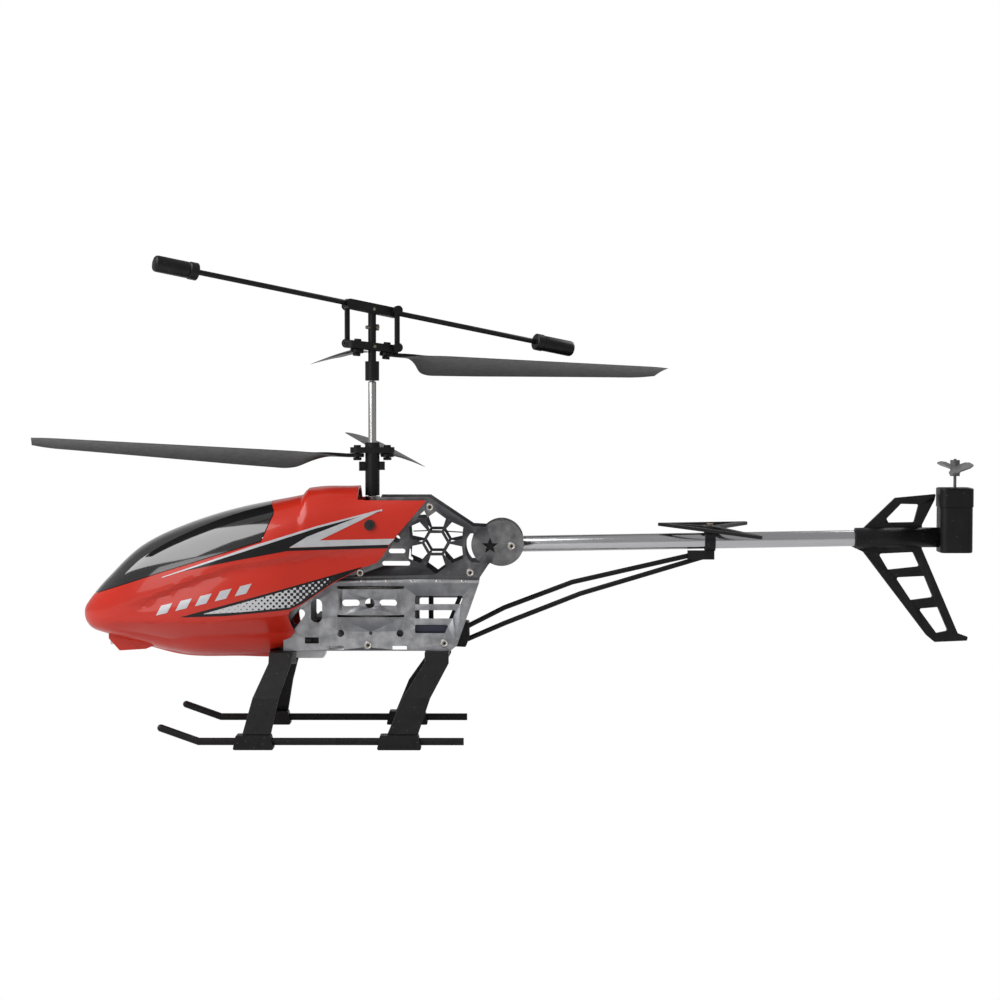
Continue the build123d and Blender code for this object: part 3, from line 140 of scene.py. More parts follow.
def closed_loft(name: str, rings: np.ndarray, sharp: float = 35.0) -> bpy.types.Object:
    """A closed skin over rings of points, with a flat face over each end ring.

    Args:
        name: the piece's name.
        rings: points as (rings, points in a ring, 3).
        sharp: the angle in degrees past which an edge stays sharp.

    Returns:
        The new object.
    """
    rows, cols = rings.shape[:2]
    faces = grid_faces(rows, cols, wrap=True)
    faces.append(list(range(cols)))
    faces.append(list(range((rows - 1) * cols, rows * cols)))
    return new_object(name, rings, faces, sharp)


def turn_z(points: np.ndarray, degrees: float) -> np.ndarray:
    """Points turned about the Z axis: x' = x cos a - y sin a, y' = x sin a + y cos a."""
    a = math.radians(degrees)
    matrix = np.array([[math.cos(a), -math.sin(a), 0], [math.sin(a), math.cos(a), 0], [0, 0, 1]])
    return np.asarray(points, float) @ matrix.T


def turn_y(points: np.ndarray, degrees: float, height: float = 0.0) -> np.ndarray:
    """Points turned about a line along Y at a height: x' = x cos a + z sin a, z' = z cos a - x sin a."""
    a = math.radians(degrees)
    matrix = np.array([[math.cos(a), 0, math.sin(a)], [0, 1, 0], [-math.sin(a), 0, math.cos(a)]])
    centre = np.array([0.0, 0.0, height])
    return (np.asarray(points, float) - centre) @ matrix.T + centre


def axes_along(direction: Point) -> tuple[np.ndarray, np.ndarray, np.ndarray]:
    """A unit vector along a direction and two more square to it and to each other."""
    along = np.array(direction, float)
    along /= np.linalg.norm(along)
    helper = np.array([0.0, 0.0, 1.0]) if abs(along[2]) < 0.9 else np.array([1.0, 0.0, 0.0])
    side = np.cross(along, helper)
    side /= np.linalg.norm(side)
    return along, side, np.cross(along, side)


def rings_along(start: Point, direction: Point, profile: list, segments: int) -> np.ndarray:
    """Rings about an axis: start + distance * along + radius * (cos a * side + sin a * up)."""
    along, side, up = axes_along(direction)
    distance, radius = np.array(profile, float).T
    a = np.linspace(0, 2 * math.pi, segments, endpoint=False)
    round_a = np.cos(a)[:, None] * side + np.sin(a)[:, None] * up
    return np.array(start) + distance[:, None, None] * along + radius[:, None, None] * round_a


def turned(name: str, start: Point, direction: Point, profile: list, segments: int = 48) -> bpy.types.Object:
    """A turned piece with a flat face at each end.

    Args:
        name: the piece's name.
        start: where distance 0 is, in millimetres.
        direction: the axis.
        profile: pairs of distance along the axis and radius, in millimetres.
        segments: points round each ring.

    Returns:
        The new closed object.
    """
    return closed_loft(name, rings_along(start, direction, profile, segments), sharp=40.0)


def bored(name: str, start: Point, direction: Point, profile: list, segments: int = 48) -> bpy.types.Object:
    """A turned ring with a bore: the profile is a closed outline that doesn't reach the axis."""
    rings = rings_along(start, direction, profile + profile[:1], segments)
    return new_object(name, rings, grid_faces(*rings.shape[:2], wrap=True), 40.0)


def curve_through(knots: np.ndarray, values: np.ndarray, at: np.ndarray) -> np.ndarray:
    """Values between knots, by cubic Hermite spans whose slopes come from the neighbours.

    With t from 0 to 1 over a span from a to b, the value is (2t^3 - 3t^2 + 1) a
    + (t^3 - 2t^2 + t) span slope_a + (3t^2 - 2t^3) b + (t^3 - t^2) span slope_b.

    Args:
        knots: where the values are known, rising.
        values: a row of values at each knot.
        at: the places wanted, as an array of any shape.

    Returns:
        A row of values for each place, on a last axis.
    """
    slopes = np.gradient(values, knots, axis=0)
    i = np.clip(np.searchsorted(knots, at, side="right") - 1, 0, len(knots) - 2)
    span = (knots[i + 1] - knots[i])[..., None]
    t = (at - knots[i])[..., None] / span
    return (
        (2 * t**3 - 3 * t**2 + 1) * values[i] + (t**3 - 2 * t**2 + t) * span * slopes[i]
        + (3 * t**2 - 2 * t**3) * values[i + 1] + (t**3 - t**2) * span * slopes[i + 1]
    )


def smooth_path(corners: list, count: int) -> np.ndarray:
    """A curve of evenly spaced points through corners."""
    corners = np.asarray(corners, float)
    knots = np.concatenate([[0], np.cumsum(np.linalg.norm(np.diff(corners, axis=0), axis=1))])
    return curve_through(knots, corners, np.linspace(0, knots[-1], count))


def swept(name: str, path: np.ndarray, radius: float, segments: int = 16) -> bpy.types.Object:
    """A round rod along a path: each ring stands square to the path's direction there."""
    path = np.asarray(path, float)
    along = np.gradient(path, axis=0)
    along /= np.linalg.norm(along, axis=1)[:, None]
    helper = np.array([0.0, 1.0, 0.0]) if abs(along[0][1]) < 0.9 else np.array([0.0, 0.0, 1.0])
    side = np.cross(along, helper)
    side /= np.linalg.norm(side, axis=1)[:, None]
    up = np.cross(along, side)
    a = np.linspace(0, 2 * math.pi, segments, endpoint=False)
    rings = path[:, None] + radius * (
        np.cos(a)[None, :, None] * side[:, None] + np.sin(a)[None, :, None] * up[:, None]
    )
    return closed_loft(name, rings, sharp=50.0)


def joined(name: str, pieces: list) -> bpy.types.Object:
    """Several objects made one, named for the piece they are.

    Args:
        name: the piece's name.
        pieces: the objects, which are used up.

    Returns:
        The one object.
    """
    bpy.ops.object.select_all(action="DESELECT")
    for piece in pieces:
        piece.select_set(True)
    bpy.context.view_layer.objects.active = pieces[0]
    if len(pieces) > 1:
        bpy.ops.object.join()
    pieces[0].name = name
    pieces[0].data.name = name
    return pieces[0]


# ------------------------------------------------------------------ finishes
class Wires:
    """One material's node tree and short ways to add to it."""

    def __init__(self, name: str) -> None:
        """Starts a material with an empty tree and a Principled shader."""
        self.material = bpy.data.materials.new(name)
        self.material.use_nodes = True
        self.tree = self.material.node_tree
        self.shader = self.tree.nodes["Principled BSDF"]
        self.place = self.tree.nodes.new("ShaderNodeTexCoord").outputs["Object"]

    def group(self, kind: bpy.types.NodeTree, **values: object) -> bpy.types.Node:
        """An effect group placed in the material, with its inputs set or linked by name."""
        node = self.tree.nodes.new("ShaderNodeGroup")
        node.node_tree = kind
        for key, value in values.items():
            self.feed(node.inputs[key], value)
        return node

    def feed(self, socket: bpy.types.NodeSocket, value: object) -> None:
        """Links a socket to another socket, or sets it to a plain value."""
        if isinstance(value, bpy.types.NodeSocket):
            self.tree.links.new(value, socket)
        else:
            socket.default_value = value

    def mix(self, fac: object, a: object, b: object) -> bpy.types.NodeSocket:
        """A colour between two colours."""
        node = self.tree.nodes.new("ShaderNodeMix")
        node.data_type = "RGBA"
        self.feed(node.inputs["Factor"], fac)
        self.feed(node.inputs["A"], a if isinstance(a, bpy.types.NodeSocket) else (*a, 1.0))
        self.feed(node.inputs["B"], b if isinstance(b, bpy.types.NodeSocket) else (*b, 1.0))
        return node.outputs["Result"]

    def math(self, kind: str, a: object, b: object = 0.0) -> bpy.types.NodeSocket:
        """The result of one sum on one or two values."""
        node = self.tree.nodes.new("ShaderNodeMath")
        node.operation = kind
        self.feed(node.inputs[0], a)
        self.feed(node.inputs[1], b)
        return node.outputs[0]

    def bump(self, height: bpy.types.NodeSocket, depth: float) -> None:
        """Raises the surface by a height of a depth in millimetres."""
        node = self.tree.nodes.new("ShaderNodeBump")
        node.inputs["Strength"].default_value = 1.0
        node.inputs["Distance"].default_value = depth * MM
        self.feed(node.inputs["Height"], height)
        self.tree.links.new(node.outputs["Normal"], self.shader.inputs["Normal"])


def effect(name: str, inputs: dict[str, object]) -> tuple[bpy.types.NodeTree, dict, bpy.types.NodeSocket]:
    """An empty effect group with named inputs and one output called Value.

    Args:
        name: the group's name.
        inputs: each input's name and its starting value; a tuple makes a vector.

    Returns:
        The group, its inputs by name, and the socket that its result goes to.
    """
    tree = bpy.data.node_groups.new(name, "ShaderNodeTree")
    for key, value in inputs.items():
        kind = "NodeSocketVector" if isinstance(value, tuple) else "NodeSocketFloat"
        socket = tree.interface.new_socket(key, in_out="INPUT", socket_type=kind)
        socket.default_value = value
    tree.interface.new_socket("Value", in_out="OUTPUT", socket_type="NodeSocketFloat")
    entry = tree.nodes.new("NodeGroupInput")
    leave = tree.nodes.new("NodeGroupOutput")
    return tree, {key: entry.outputs[key] for key in inputs}, leave.inputs["Value"]


def grain_effect() -> bpy.types.NodeTree:
    """Fine mottling: noise at a scale, stretched by a vector, spread between two values."""
    tree, ins, out = effect("grain", {
        "Vector": (0.0, 0.0, 0.0), "Stretch": (1.0, 1.0, 1.0), "Scale": 900.0, "Low": 0.0, "High": 1.0,
    })
    stretch = tree.nodes.new("ShaderNodeVectorMath")
    stretch.operation = "MULTIPLY"
    noise = tree.nodes.new("ShaderNodeTexNoise")
    noise.inputs["Detail"].default_value = 4.0
    spread = tree.nodes.new("ShaderNodeMapRange")
    spread.inputs["From Min"].default_value = 0.3
    spread.inputs["From Max"].default_value = 0.7
    link = tree.links.new
    link(ins["Vector"], stretch.inputs[0])
    link(ins["Stretch"], stretch.inputs[1])
    link(stretch.outputs[0], noise.inputs["Vector"])
    link(ins["Scale"], noise.inputs["Scale"])
    link(noise.outputs["Fac"], spread.inputs["Value"])
    link(ins["Low"], spread.inputs["To Min"])
    link(ins["High"], spread.inputs["To Max"])
    link(spread.outputs["Result"], out)
    return tree


def speck_effect() -> bpy.types.NodeTree:
    """Sparse specks, as dust or chips leave: 1 inside small random cells, else 0."""
    tree, ins, out = effect("specks", {"Vector": (0.0, 0.0, 0.0), "Scale": 500.0, "Size": 0.12})
    cells = tree.nodes.new("ShaderNodeTexVoronoi")
    less = tree.nodes.new("ShaderNodeMath")
    less.operation = "LESS_THAN"
    link = tree.links.new
    link(ins["Vector"], cells.inputs["Vector"])
    link(ins["Scale"], cells.inputs["Scale"])
    link(cells.outputs["Distance"], less.inputs[0])
    link(ins["Size"], less.inputs[1])
    link(less.outputs[0], out)
    return tree


def wear_effect() -> bpy.types.NodeTree:
    """Bare edges: 1 where the surface bends outwards and a patchy noise lets it show."""
    tree, ins, out = effect("edge_wear", {"Vector": (0.0, 0.0, 0.0), "Reach": 0.56, "Patch": 220.0})
    shape = tree.nodes.new("ShaderNodeNewGeometry")
    edge = tree.nodes.new("ShaderNodeMapRange")
    edge.inputs["From Max"].default_value = 0.62
    patch = tree.nodes.new("ShaderNodeTexNoise")
    product = tree.nodes.new("ShaderNodeMath")
    product.operation = "MULTIPLY"
    link = tree.links.new
    link(shape.outputs["Pointiness"], edge.inputs["Value"])
    link(ins["Reach"], edge.inputs["From Min"])
    link(ins["Vector"], patch.inputs["Vector"])
    link(ins["Patch"], patch.inputs["Scale"])
    link(edge.outputs["Result"], product.inputs[0])
    link(patch.outputs["Fac"], product.inputs[1])
    link(product.outputs[0], out)
    return tree


class Grind(Enum):
    """Which way a surface's fine lines run."""

    NONE = (1.0, 1.0, 1.0)
    ALONG_X = (0.06, 1.0, 1.0)
    ALONG_Z = (1.0, 1.0, 0.06)


@dataclass(frozen=True)
class Finish:
    """A surface finish: two close colours, gloss, and the grain that varies them."""

    name: str
    slot: str
    colour: Colour
    shade: Colour
    roughness: float = 0.4
    spread: float = 0.1
    metal: float = 0.0
    coat: float = 0.0
    specular: float = 0.5
    grain: float = 900.0
    depth: float = 0.01
    grind: Grind = Grind.NONE
    worn: float = 0.0
    worn_colour: Colour = (0.5, 0.5, 0.5)
    specks: float = 0.0

    def material(self) -> bpy.types.Material:
        """The finish's material, made once and then reused."""
        kept = bpy.data.materials.get(self.name)
        return kept or self.build()

    def colours(self, wires: Wires, grain: bpy.types.NodeSocket) -> bpy.types.NodeSocket:
        """The base colour: two shades by the grain, then specks and worn edges over them."""
        colour = wires.mix(grain, self.colour, self.shade)
        if self.specks:
            dust = wires.group(bpy.data.node_groups["specks"], Vector=wires.place, Scale=self.specks)
            colour = wires.mix(dust.outputs[0], colour, tuple(min(1.0, c * 1.9 + 0.02) for c in self.colour))
        if self.worn:
            wear = wires.group(bpy.data.node_groups["edge_wear"], Vector=wires.place)
            colour = wires.mix(wires.math("MULTIPLY", wear.outputs[0], self.worn), colour, self.worn_colour)
        return colour

    def build(self) -> bpy.types.Material:
        """Makes the node material."""
        wires = Wires(self.name)
        kind = bpy.data.node_groups["grain"]
        fine = wires.group(kind, Vector=wires.place, Stretch=self.grind.value, Scale=self.grain)
        broad = wires.group(kind, Vector=wires.place, Stretch=self.grind.value, Scale=self.grain / 9)
        low, high = self.roughness - self.spread / 2, self.roughness + self.spread / 2
        rough = wires.group(
            kind, Vector=wires.place, Stretch=self.grind.value, Scale=self.grain / 3, Low=low, High=high
        )
        shader = wires.shader
        wires.feed(shader.inputs["Base Color"], self.colours(wires, broad.outputs[0]))
        wires.feed(shader.inputs["Roughness"], rough.outputs[0])
        shader.inputs["Metallic"].default_value = self.metal
        shader.inputs["Coat Weight"].default_value = self.coat
        shader.inputs["Coat Roughness"].default_value = 0.05
        shader.inputs["Specular IOR Level"].default_value = self.specular
        wires.bump(fine.outputs[0], self.depth)
        return wires.material


@dataclass(frozen=True)
class Halftone(Finish):
    """Silver print that breaks up into dots towards the rear, on black.

    Two waves at right angles, cos(u) + cos(v), are compared with a level that rises with X, so
    the silver runs together in front and shrinks to dots behind.
    """

    pitch: float = 1.45
    front: float = -66.0
    rear: float = -16.0

    def colours(self, wires: Wires, grain: bpy.types.NodeSocket) -> bpy.types.NodeSocket:
        """Silver where the dots are, black between them."""
        parts = wires.tree.nodes.new("ShaderNodeSeparateXYZ")
        wires.tree.links.new(wires.place, parts.inputs[0])
        x, z = parts.outputs["X"], parts.outputs["Z"]
        turn = math.pi / (self.pitch * MM)
        u = wires.math("COSINE", wires.math("MULTIPLY", wires.math("ADD", x, z), turn))
        v = wires.math("COSINE", wires.math("MULTIPLY", wires.math("SUBTRACT", x, z), turn))
        level = wires.tree.nodes.new("ShaderNodeMapRange")
        wires.feed(level.inputs["Value"], x)
        level.inputs["From Min"].default_value = self.front * MM
        level.inputs["From Max"].default_value = self.rear * MM
        level.inputs["To Min"].default_value = -1.8
        level.inputs["To Max"].default_value = 1.25
        silver = wires.math("GREATER_THAN", wires.math("ADD", u, v), level.outputs["Result"])
        return wires.mix(silver, self.shade, self.colour)


RED = Finish("red_paint", "canopy_red", (0.62, 0.028, 0.012), (0.58, 0.024, 0.011), 0.32, 0.04,
             coat=0.45, specular=0.28, grain=350.0, depth=0.002)
SILVER = Finish("silver_print", "canopy_red", (0.62, 0.62, 0.64), (0.56, 0.56, 0.59), 0.34, 0.06,
                metal=0.25, coat=0.6, grain=2500.0, depth=0.001)
INK = Finish("black_print", "canopy_red", (0.006, 0.006, 0.007), (0.009, 0.009, 0.010), 0.3, 0.06,
             coat=0.35, specular=0.2, depth=0.001)
DOTS = Halftone("halftone_print", "canopy_red", (0.62, 0.62, 0.64), (0.012, 0.012, 0.013), 0.32, 0.05,
                coat=0.3, specular=0.2, depth=0.001)
SMOKE = Finish("smoked_screen", "screen_smoke", (0.010, 0.010, 0.011), (0.015, 0.015, 0.016), 0.10, 0.03,
               coat=1.0, specular=0.6, grain=200.0, depth=0.0005)
PLATE_DARK = Finish("dark_plate", "frame_dark", (0.050, 0.050, 0.056), (0.085, 0.085, 0.092), 0.36, 0.14,
                    metal=0.75, specks=170.0, grain=1200.0, depth=0.004, grind=Grind.ALONG_X, worn=0.8)
PLATE_LIGHT = Finish("brushed_plate", "frame_light", (0.105, 0.108, 0.122), (0.185, 0.188, 0.208), 0.34, 0.16,
                     metal=0.8, specks=150.0, grain=1100.0, depth=0.004, grind=Grind.ALONG_X, worn=0.9,
                     worn_colour=(0.8, 0.8, 0.82))
BLACK = Finish("black_moulding", "black_plastic", (0.006, 0.006, 0.0065), (0.011, 0.011, 0.012), 0.42, 0.12,
               specular=0.28, grain=1500.0, depth=0.006, specks=260.0)
GLOSS_BLACK = Finish("glossy_black", "blade_plastic", (0.006, 0.006, 0.007), (0.010, 0.010, 0.0115), 0.34,
                     0.08, coat=0.05, specular=0.2, grain=900.0, depth=0.002)
STEEL = Finish("ground_steel", "steel", (0.52, 0.51, 0.50), (0.62, 0.61, 0.60), 0.24, 0.10, metal=1.0,
               grain=1800.0, depth=0.002, grind=Grind.ALONG_Z)
SCREW = Finish("plated_screw", "screw_metal", (0.30, 0.25, 0.19), (0.42, 0.37, 0.30), 0.32, 0.1, metal=1.0,
               grain=2400.0, depth=0.002)
ALUMINIUM = Finish("drawn_aluminium", "boom_aluminium", (0.60, 0.60, 0.62), (0.70, 0.70, 0.72), 0.20, 0.08,
                   metal=1.0, grain=1800.0, depth=0.002, grind=Grind.ALONG_X)
GEAR_GREY = Finish("gear_moulding", "gear_plastic", (0.20, 0.19, 0.18), (0.26, 0.25, 0.24), 0.5, 0.1,
                   grain=1300.0, depth=0.004)
WEIGHT = Finish("weight_lacquer", "weight_metal", (0.007, 0.007, 0.0075), (0.012, 0.012, 0.013), 0.34, 0.1,
                specular=0.3, grain=1300.0, depth=0.003, specks=300.0)
CAN = Finish("motor_can", "motor_can", (0.40, 0.40, 0.40), (0.52, 0.52, 0.52), 0.28, 0.1, metal=1.0,
             grain=1500.0, depth=0.002, grind=Grind.ALONG_Z)
SLEEVE = Finish("cell_sleeve", "battery_wrap", (0.02, 0.025, 0.06), (0.03, 0.035, 0.08), 0.4, 0.15,
                coat=0.3, grain=500.0, depth=0.03)
BOARD = Finish("printed_board", "board", (0.01, 0.06, 0.03), (0.015, 0.09, 0.04), 0.35, 0.1, coat=0.4,
               grain=800.0, depth=0.01)
PALE = Finish("bright_plating", "screw_metal", (0.74, 0.72, 0.69), (0.82, 0.80, 0.77), 0.22, 0.08, metal=0.85,
              grain=2400.0, depth=0.001)
GREY = Finish("grey_moulding", "gear_plastic", (0.17, 0.17, 0.165), (0.24, 0.24, 0.23), 0.46, 0.1,
              grain=1500.0, depth=0.003)
RUBBER = Finish("soft_rubber", "rubber", (0.010, 0.010, 0.010), (0.018, 0.018, 0.018), 0.62, 0.14,
                grain=1500.0, depth=0.01)
MILKY = Finish("milky_plastic", "clear_plastic", (0.74, 0.74, 0.76), (0.82, 0.82, 0.84), 0.28, 0.1,
               coat=0.3, grain=700.0, depth=0.004)
TAIL_GREY = Finish("tail_blade_grey", "tail_grey", (0.10, 0.10, 0.105), (0.15, 0.15, 0.155), 0.36, 0.1,
                   grain=900.0, depth=0.003)


EDGE_ANGLE = 32.0  # an edge of a refined piece that turns more than this many degrees is sharp
AREA_SLACK = 0.0002  # the share of its area by which merging facets may change a piece


@dataclass
class Kit:
    """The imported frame, with the calls that dress a CAD node or add a new piece."""

    nodes: dict
    bodies: dict
    record: dict
    owners: dict = field(default_factory=dict)

    def __post_init__(self) -> None:
        """Notes which body owns each node."""
        groups = self.record["behaviour"]["bodies"]
        self.owners = {node: body for body, members in groups.items() for node in members}

    def add(self, piece: bpy.types.Object, finish: Finish, body: str, *replaced: str) -> bpy.types.Object:
        """Gives a new piece its finish, its body and the nodes that it stands for.

        Args:
            piece: the new object.
            finish: its finish.
            body: the body that it rides on.
            replaced: CAD nodes that it replaces.

        Returns:
            The same object.
        """
        piece.data.materials.clear()
        piece.data.materials.append(finish.material())
        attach(piece, body)
        if replaced:
            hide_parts(*replaced)
        LOG.info("%s on %s", piece.name, body)
        return piece

    def refine(self, node: str, finish: Finish, bevel: float) -> bpy.types.Object:
        """A copy of a CAD node with its facets merged, its edges broken and its finish on.

        A pierced sheet keeps its facets and its plain edges, and so does any piece that
        merging would change.

        Args:
            node: the CAD node, which the copy replaces.
            finish: the copy's finish.
            bevel: how wide its edges are broken, in millimetres; 0 leaves them.

        Returns:
            The copy.
        """
        mesh = self.nodes[node].data.copy()
        bm = bmesh.new()
        bm.from_mesh(mesh)
        bmesh.ops.remove_doubles(bm, verts=bm.verts, dist=1e-6)
        bm.to_mesh(mesh)
        area = sum(face.calc_area() for face in bm.faces)
        bmesh.ops.dissolve_limit(
            bm, angle_limit=math.radians(0.4), verts=bm.verts, edges=bm.edges, use_dissolve_boundaries=False
        )
        tried = bm.copy()
        bmesh.ops.triangulate(tried, faces=tried.faces)
        kept = abs(sum(face.calc_area() for face in tried.faces) - area) < AREA_SLACK * area
        whole = kept and node not in PIERCED
        if whole:
            bm.to_mesh(mesh)
        tried.free()
        bm.free()
        piece = bpy.data.objects.new(f"{node}_finished", mesh)
        bpy.context.scene.collection.objects.link(piece)
        mesh.shade_smooth()
        mesh.set_sharp_from_angle(angle=math.radians(EDGE_ANGLE))
        if bevel and whole:
            edge = piece.modifiers.new("broken_edges", "BEVEL")
            edge.width = bevel * MM
            edge.segments = 2
            edge.limit_method = "ANGLE"
            edge.angle_limit = math.radians(EDGE_ANGLE)
            edge.harden_normals = True
        return self.add(piece, finish, self.owners[node], node)


# ------------------------------------------------------------------ cutting
def prism(points: list, low: float = -80.0, high: float = 80.0) -> bpy.types.Object:
    """A closed block: an outline in X and Z carried along Y, in millimetres."""
    flat = np.array([(x, 0.0, z) for x, z in points])
    rings = np.stack([flat + (0.0, y, 0.0) for y in (low, high)])
    return closed_loft("cutter", rings, 10.0)


def carve(target: bpy.types.Object, kind: str, cutter: bpy.types.Object) -> bpy.types.Object:
    """Cuts one closed piece with another and keeps the result as the target's mesh.

    Args:
        target: the piece that changes.
        kind: DIFFERENCE or INTERSECT.
        cutter: the piece that cuts, which is used up.

    Returns:
        The target.
    """
    step = target.modifiers.new("cut", "BOOLEAN")
    step.operation, step.solver, step.object = kind, "EXACT", cutter
    graph = bpy.context.evaluated_depsgraph_get()
    mesh = bpy.data.meshes.new_from_object(target.evaluated_get(graph))
    target.modifiers.remove(step)
    target.data = mesh
    bpy.data.objects.remove(cutter)
    return target


def duplicate(piece: bpy.types.Object, name: str) -> bpy.types.Object:
    """A copy of a piece with its own mesh."""
    copy = bpy.data.objects.new(name, piece.data.copy())
    bpy.context.scene.collection.objects.link(copy)
    return copy


def smoothstep(x: np.ndarray, low: float, high: float) -> np.ndarray:
    """0 below low, 1 above high, and 3t^2 - 2t^3 between them."""
    t = np.clip((x - low) / (high - low), 0.0, 1.0)
    return t * t * (3 - 2 * t)


# ------------------------------------------------------------------ canopy
@dataclass
class Canopy:
    """The red shell, its smoked screen and their print.

    Across the body each section is a superellipse, |y / half|^n + |dz / reach|^n = 1, whose sizes
    run smoothly along X. Two creases and a tucked-in chin are pushed in from its sides.
    """

    kit: Kit
    wall: float = 1.2
    power: float = 2.7
    nose: float = -144.3
    tail: float = 30.0
    hump: float = 2.9
    mast_hole: float = 6.5
    peg_hole: float = 2.6
    peg_height: float = 107.6
    black_film: float = 0.10
    silver_film: float = 0.16
    # x, top, bottom, half width and height of the widest line at each station
    stations: tuple = (
        (-144.3, 62.5, 62.5, 0.0, 62.5), (-139.5, 71.6, 54.6, 12.2, 62.5), (-131.0, 81.2, 51.8, 19.2, 64.0),
        (-114.0, 96.8, 46.4, 26.5, 67.0), (-92.0, 107.2, 41.2, 31.0, 72.0), (-66.0, 115.2, 40.8, 33.0, 78.0),
        (-44.0, 119.6, 40.8, 32.5, 83.0), (-26.0, 122.7, 44.0, 29.5, 87.0), (-4.0, 123.4, 50.0, 26.0, 91.0),
        (30.0, 131.0, 60.0, 23.5, 95.0),
    )
    edge: tuple = (
        (-150, 30), (-50.4, 30), (-50.4, 45.2), (-43.4, 46.6), (-37.4, 54.2), (-38.9, 58.8), (-39.7, 62.9),
        (-38.8, 65.4), (-32.4, 69.0), (-16.6, 79.8), (-3.4, 86.6), (3.4, 89.0), (6.4, 92.2), (9.9, 98.2),
        (28.6, 120.4), (28.6, 140), (-150, 140),
    )
    glass: tuple = (
        (-150.0, 68.8), (-102.7, 84.4), (-52.9, 100.0), (-47.6, 112.6), (-47.6, 114.8), (-50.4, 120.0),
        (-50.4, 150.0), (-150.0, 150.0),
    )
    groove: tuple = (
        (-126.0, 67.2), (-111.8, 70.5), (-89.0, 80.3), (-67.3, 87.9), (-26.0, 94.4), (12.0, 96.6),
    )
    chin: tuple = ((-131.2, 59.7), (-101.9, 59.7), (-75.8, 60.3), (-38.9, 64.2))
    keel: tuple = ((-129.4, 56.1), (-113.1, 53.6), (-98.9, 50.6), (-84.8, 52.8), (-36.9, 54.6))

    def sizes(self, x: np.ndarray) -> tuple[np.ndarray, ...]:
        """Top, bottom, half width and widest height at X, smooth in the root of the way from the nose."""
        table = np.array(self.stations)
        knots = np.sqrt(table[:, 0] - self.nose)
        at = np.sqrt(np.clip(x - self.nose, 0, None))
        top, bottom, half, middle = np.moveaxis(curve_through(knots, table[:, 1:], at), -1, 0)
        return top + self.hump * smoothstep(x, -34.6, -31.6), bottom, half, middle

    def pushed(self, x: np.ndarray, z: np.ndarray) -> np.ndarray:
        """How far the side is pushed in: a dent that eases out below the groove, and the chin's tuck."""
        under = np.interp(x, *np.array(self.groove).T) - z
        ends = smoothstep(x, -128.0, -100.0) * smoothstep(-x, -14.0, 30.0)
        dent = 3.0 * ends * smoothstep(under, -0.6, 3.4) * np.exp(-np.clip(under, 0, None) / 7.0)
        chin = np.interp(x, *np.array(self.chin).T)
        keel = np.interp(x, *np.array(self.keel).T)
        tuck = 0.8 * np.clip(chin - z, 0.0, chin - keel) * smoothstep(x, -134.0, -112.0)
        return dent + tuck

    def side(self, x: np.ndarray, z: np.ndarray) -> np.ndarray:
        """Half the shell's width at a point of its side view."""
        top, bottom, half, middle = self.sizes(x)
        reach = np.where(z > middle, top - middle, middle - bottom)
        share = np.clip(1 - np.abs((z - middle) / reach) ** self.power, 0.0, 1.0)
        return half * share ** (1 / self.power) - self.pushed(x, z) * smoothstep(np.sqrt(share), 0.0, 0.35)

    def solid(self, inset: float) -> bpy.types.Object:
        """The closed body of the shell, smaller all round by an inset."""
        t = np.linspace(0.03, 1.0, 190)
        x = self.nose + inset + (self.tail - self.nose - inset) * t**2
        top, bottom, half, middle = (size[:, None] for size in self.sizes(x))
        a = np.linspace(0, 2 * math.pi, 208, endpoint=False)[None, :]
        c, s = np.cos(a), np.sin(a)
        reach = np.where(s > 0, top - middle, middle - bottom)
        inner = np.clip(1 - inset / np.maximum(reach, 0.1), 0.05, 1)
        z = middle + reach * inner * np.sign(s) * np.abs(s) ** (2 / self.power)
        deep = self.pushed(np.broadcast_to(x[:, None], z.shape), z) * smoothstep(np.abs(c), 0.0, 0.35)
        wide = np.clip(half - inset, 0.05, None) * np.abs(c) ** (2 / self.power)
        y = np.sign(c) * np.clip(wide - deep, 0.0, None)
        return closed_loft("canopy_body", np.stack(np.broadcast_arrays(x[:, None], y, z), axis=-1), 30.0)

    def build(self) -> None:
        """Makes the shell, the screen and all the print."""
        shell = carve(self.solid(0.0), "DIFFERENCE", self.solid(self.wall))
        carve(shell, "INTERSECT", prism(self.edge))
        carve(shell, "DIFFERENCE", prism([(-3.2, 119.4), (40, 119.4), (40, 150), (-3.2, 150)]))
        carve(shell, "DIFFERENCE", prism([(-6.2, 100), (40, 100), (40, 150), (-6.2, 150)], -19.0, 19.0))
        bore = [(0, self.mast_hole), (60, self.mast_hole)]
        carve(shell, "DIFFERENCE", turned("cutter", (0, 0, 100), (0, 0, 1), bore))
        bore = [(0, self.peg_hole), (12, self.peg_hole)]
        for side in (-1, 1):
            start = (0.0, side * 22.0, self.peg_height)
            carve(shell, "DIFFERENCE", turned("cutter", start, (0, side, 0), bore))
        screen = duplicate(shell, "windscreen_smoked")
        carve(screen, "INTERSECT", prism(self.glass))
        groove = [(x - 0.12, z - 0.35) if z < 125 else (x, z) for x, z in self.glass]
        groove = [(x + (0.45 if x > -60 else 0.0), z) for x, z in groove]
        carve(shell, "DIFFERENCE", prism(groove))
        shell.name = "canopy_shell"
        for piece in (shell, screen):
            finish_mesh(piece, 24.0)
        self.kit.add(shell, RED, "airframe", "canopy")
        self.kit.add(screen, SMOKE, "airframe", "windscreen")
        for side, word in ((-1, "left"), (1, "right")):
            self.printing(side, word)
        lip = [(-131.0, 52.4), (-131.0, 50.2), (-125.6, 44.1), (-112.5, 44.9), (-104.0, 48.4), (-108.0, 52.4)]
        scoop = prism(lip, -9.5, 9.5)
        scoop.name = "chin_scoop_moulded"
        self.kit.add(scoop, RED, "airframe", "chin_scoop")

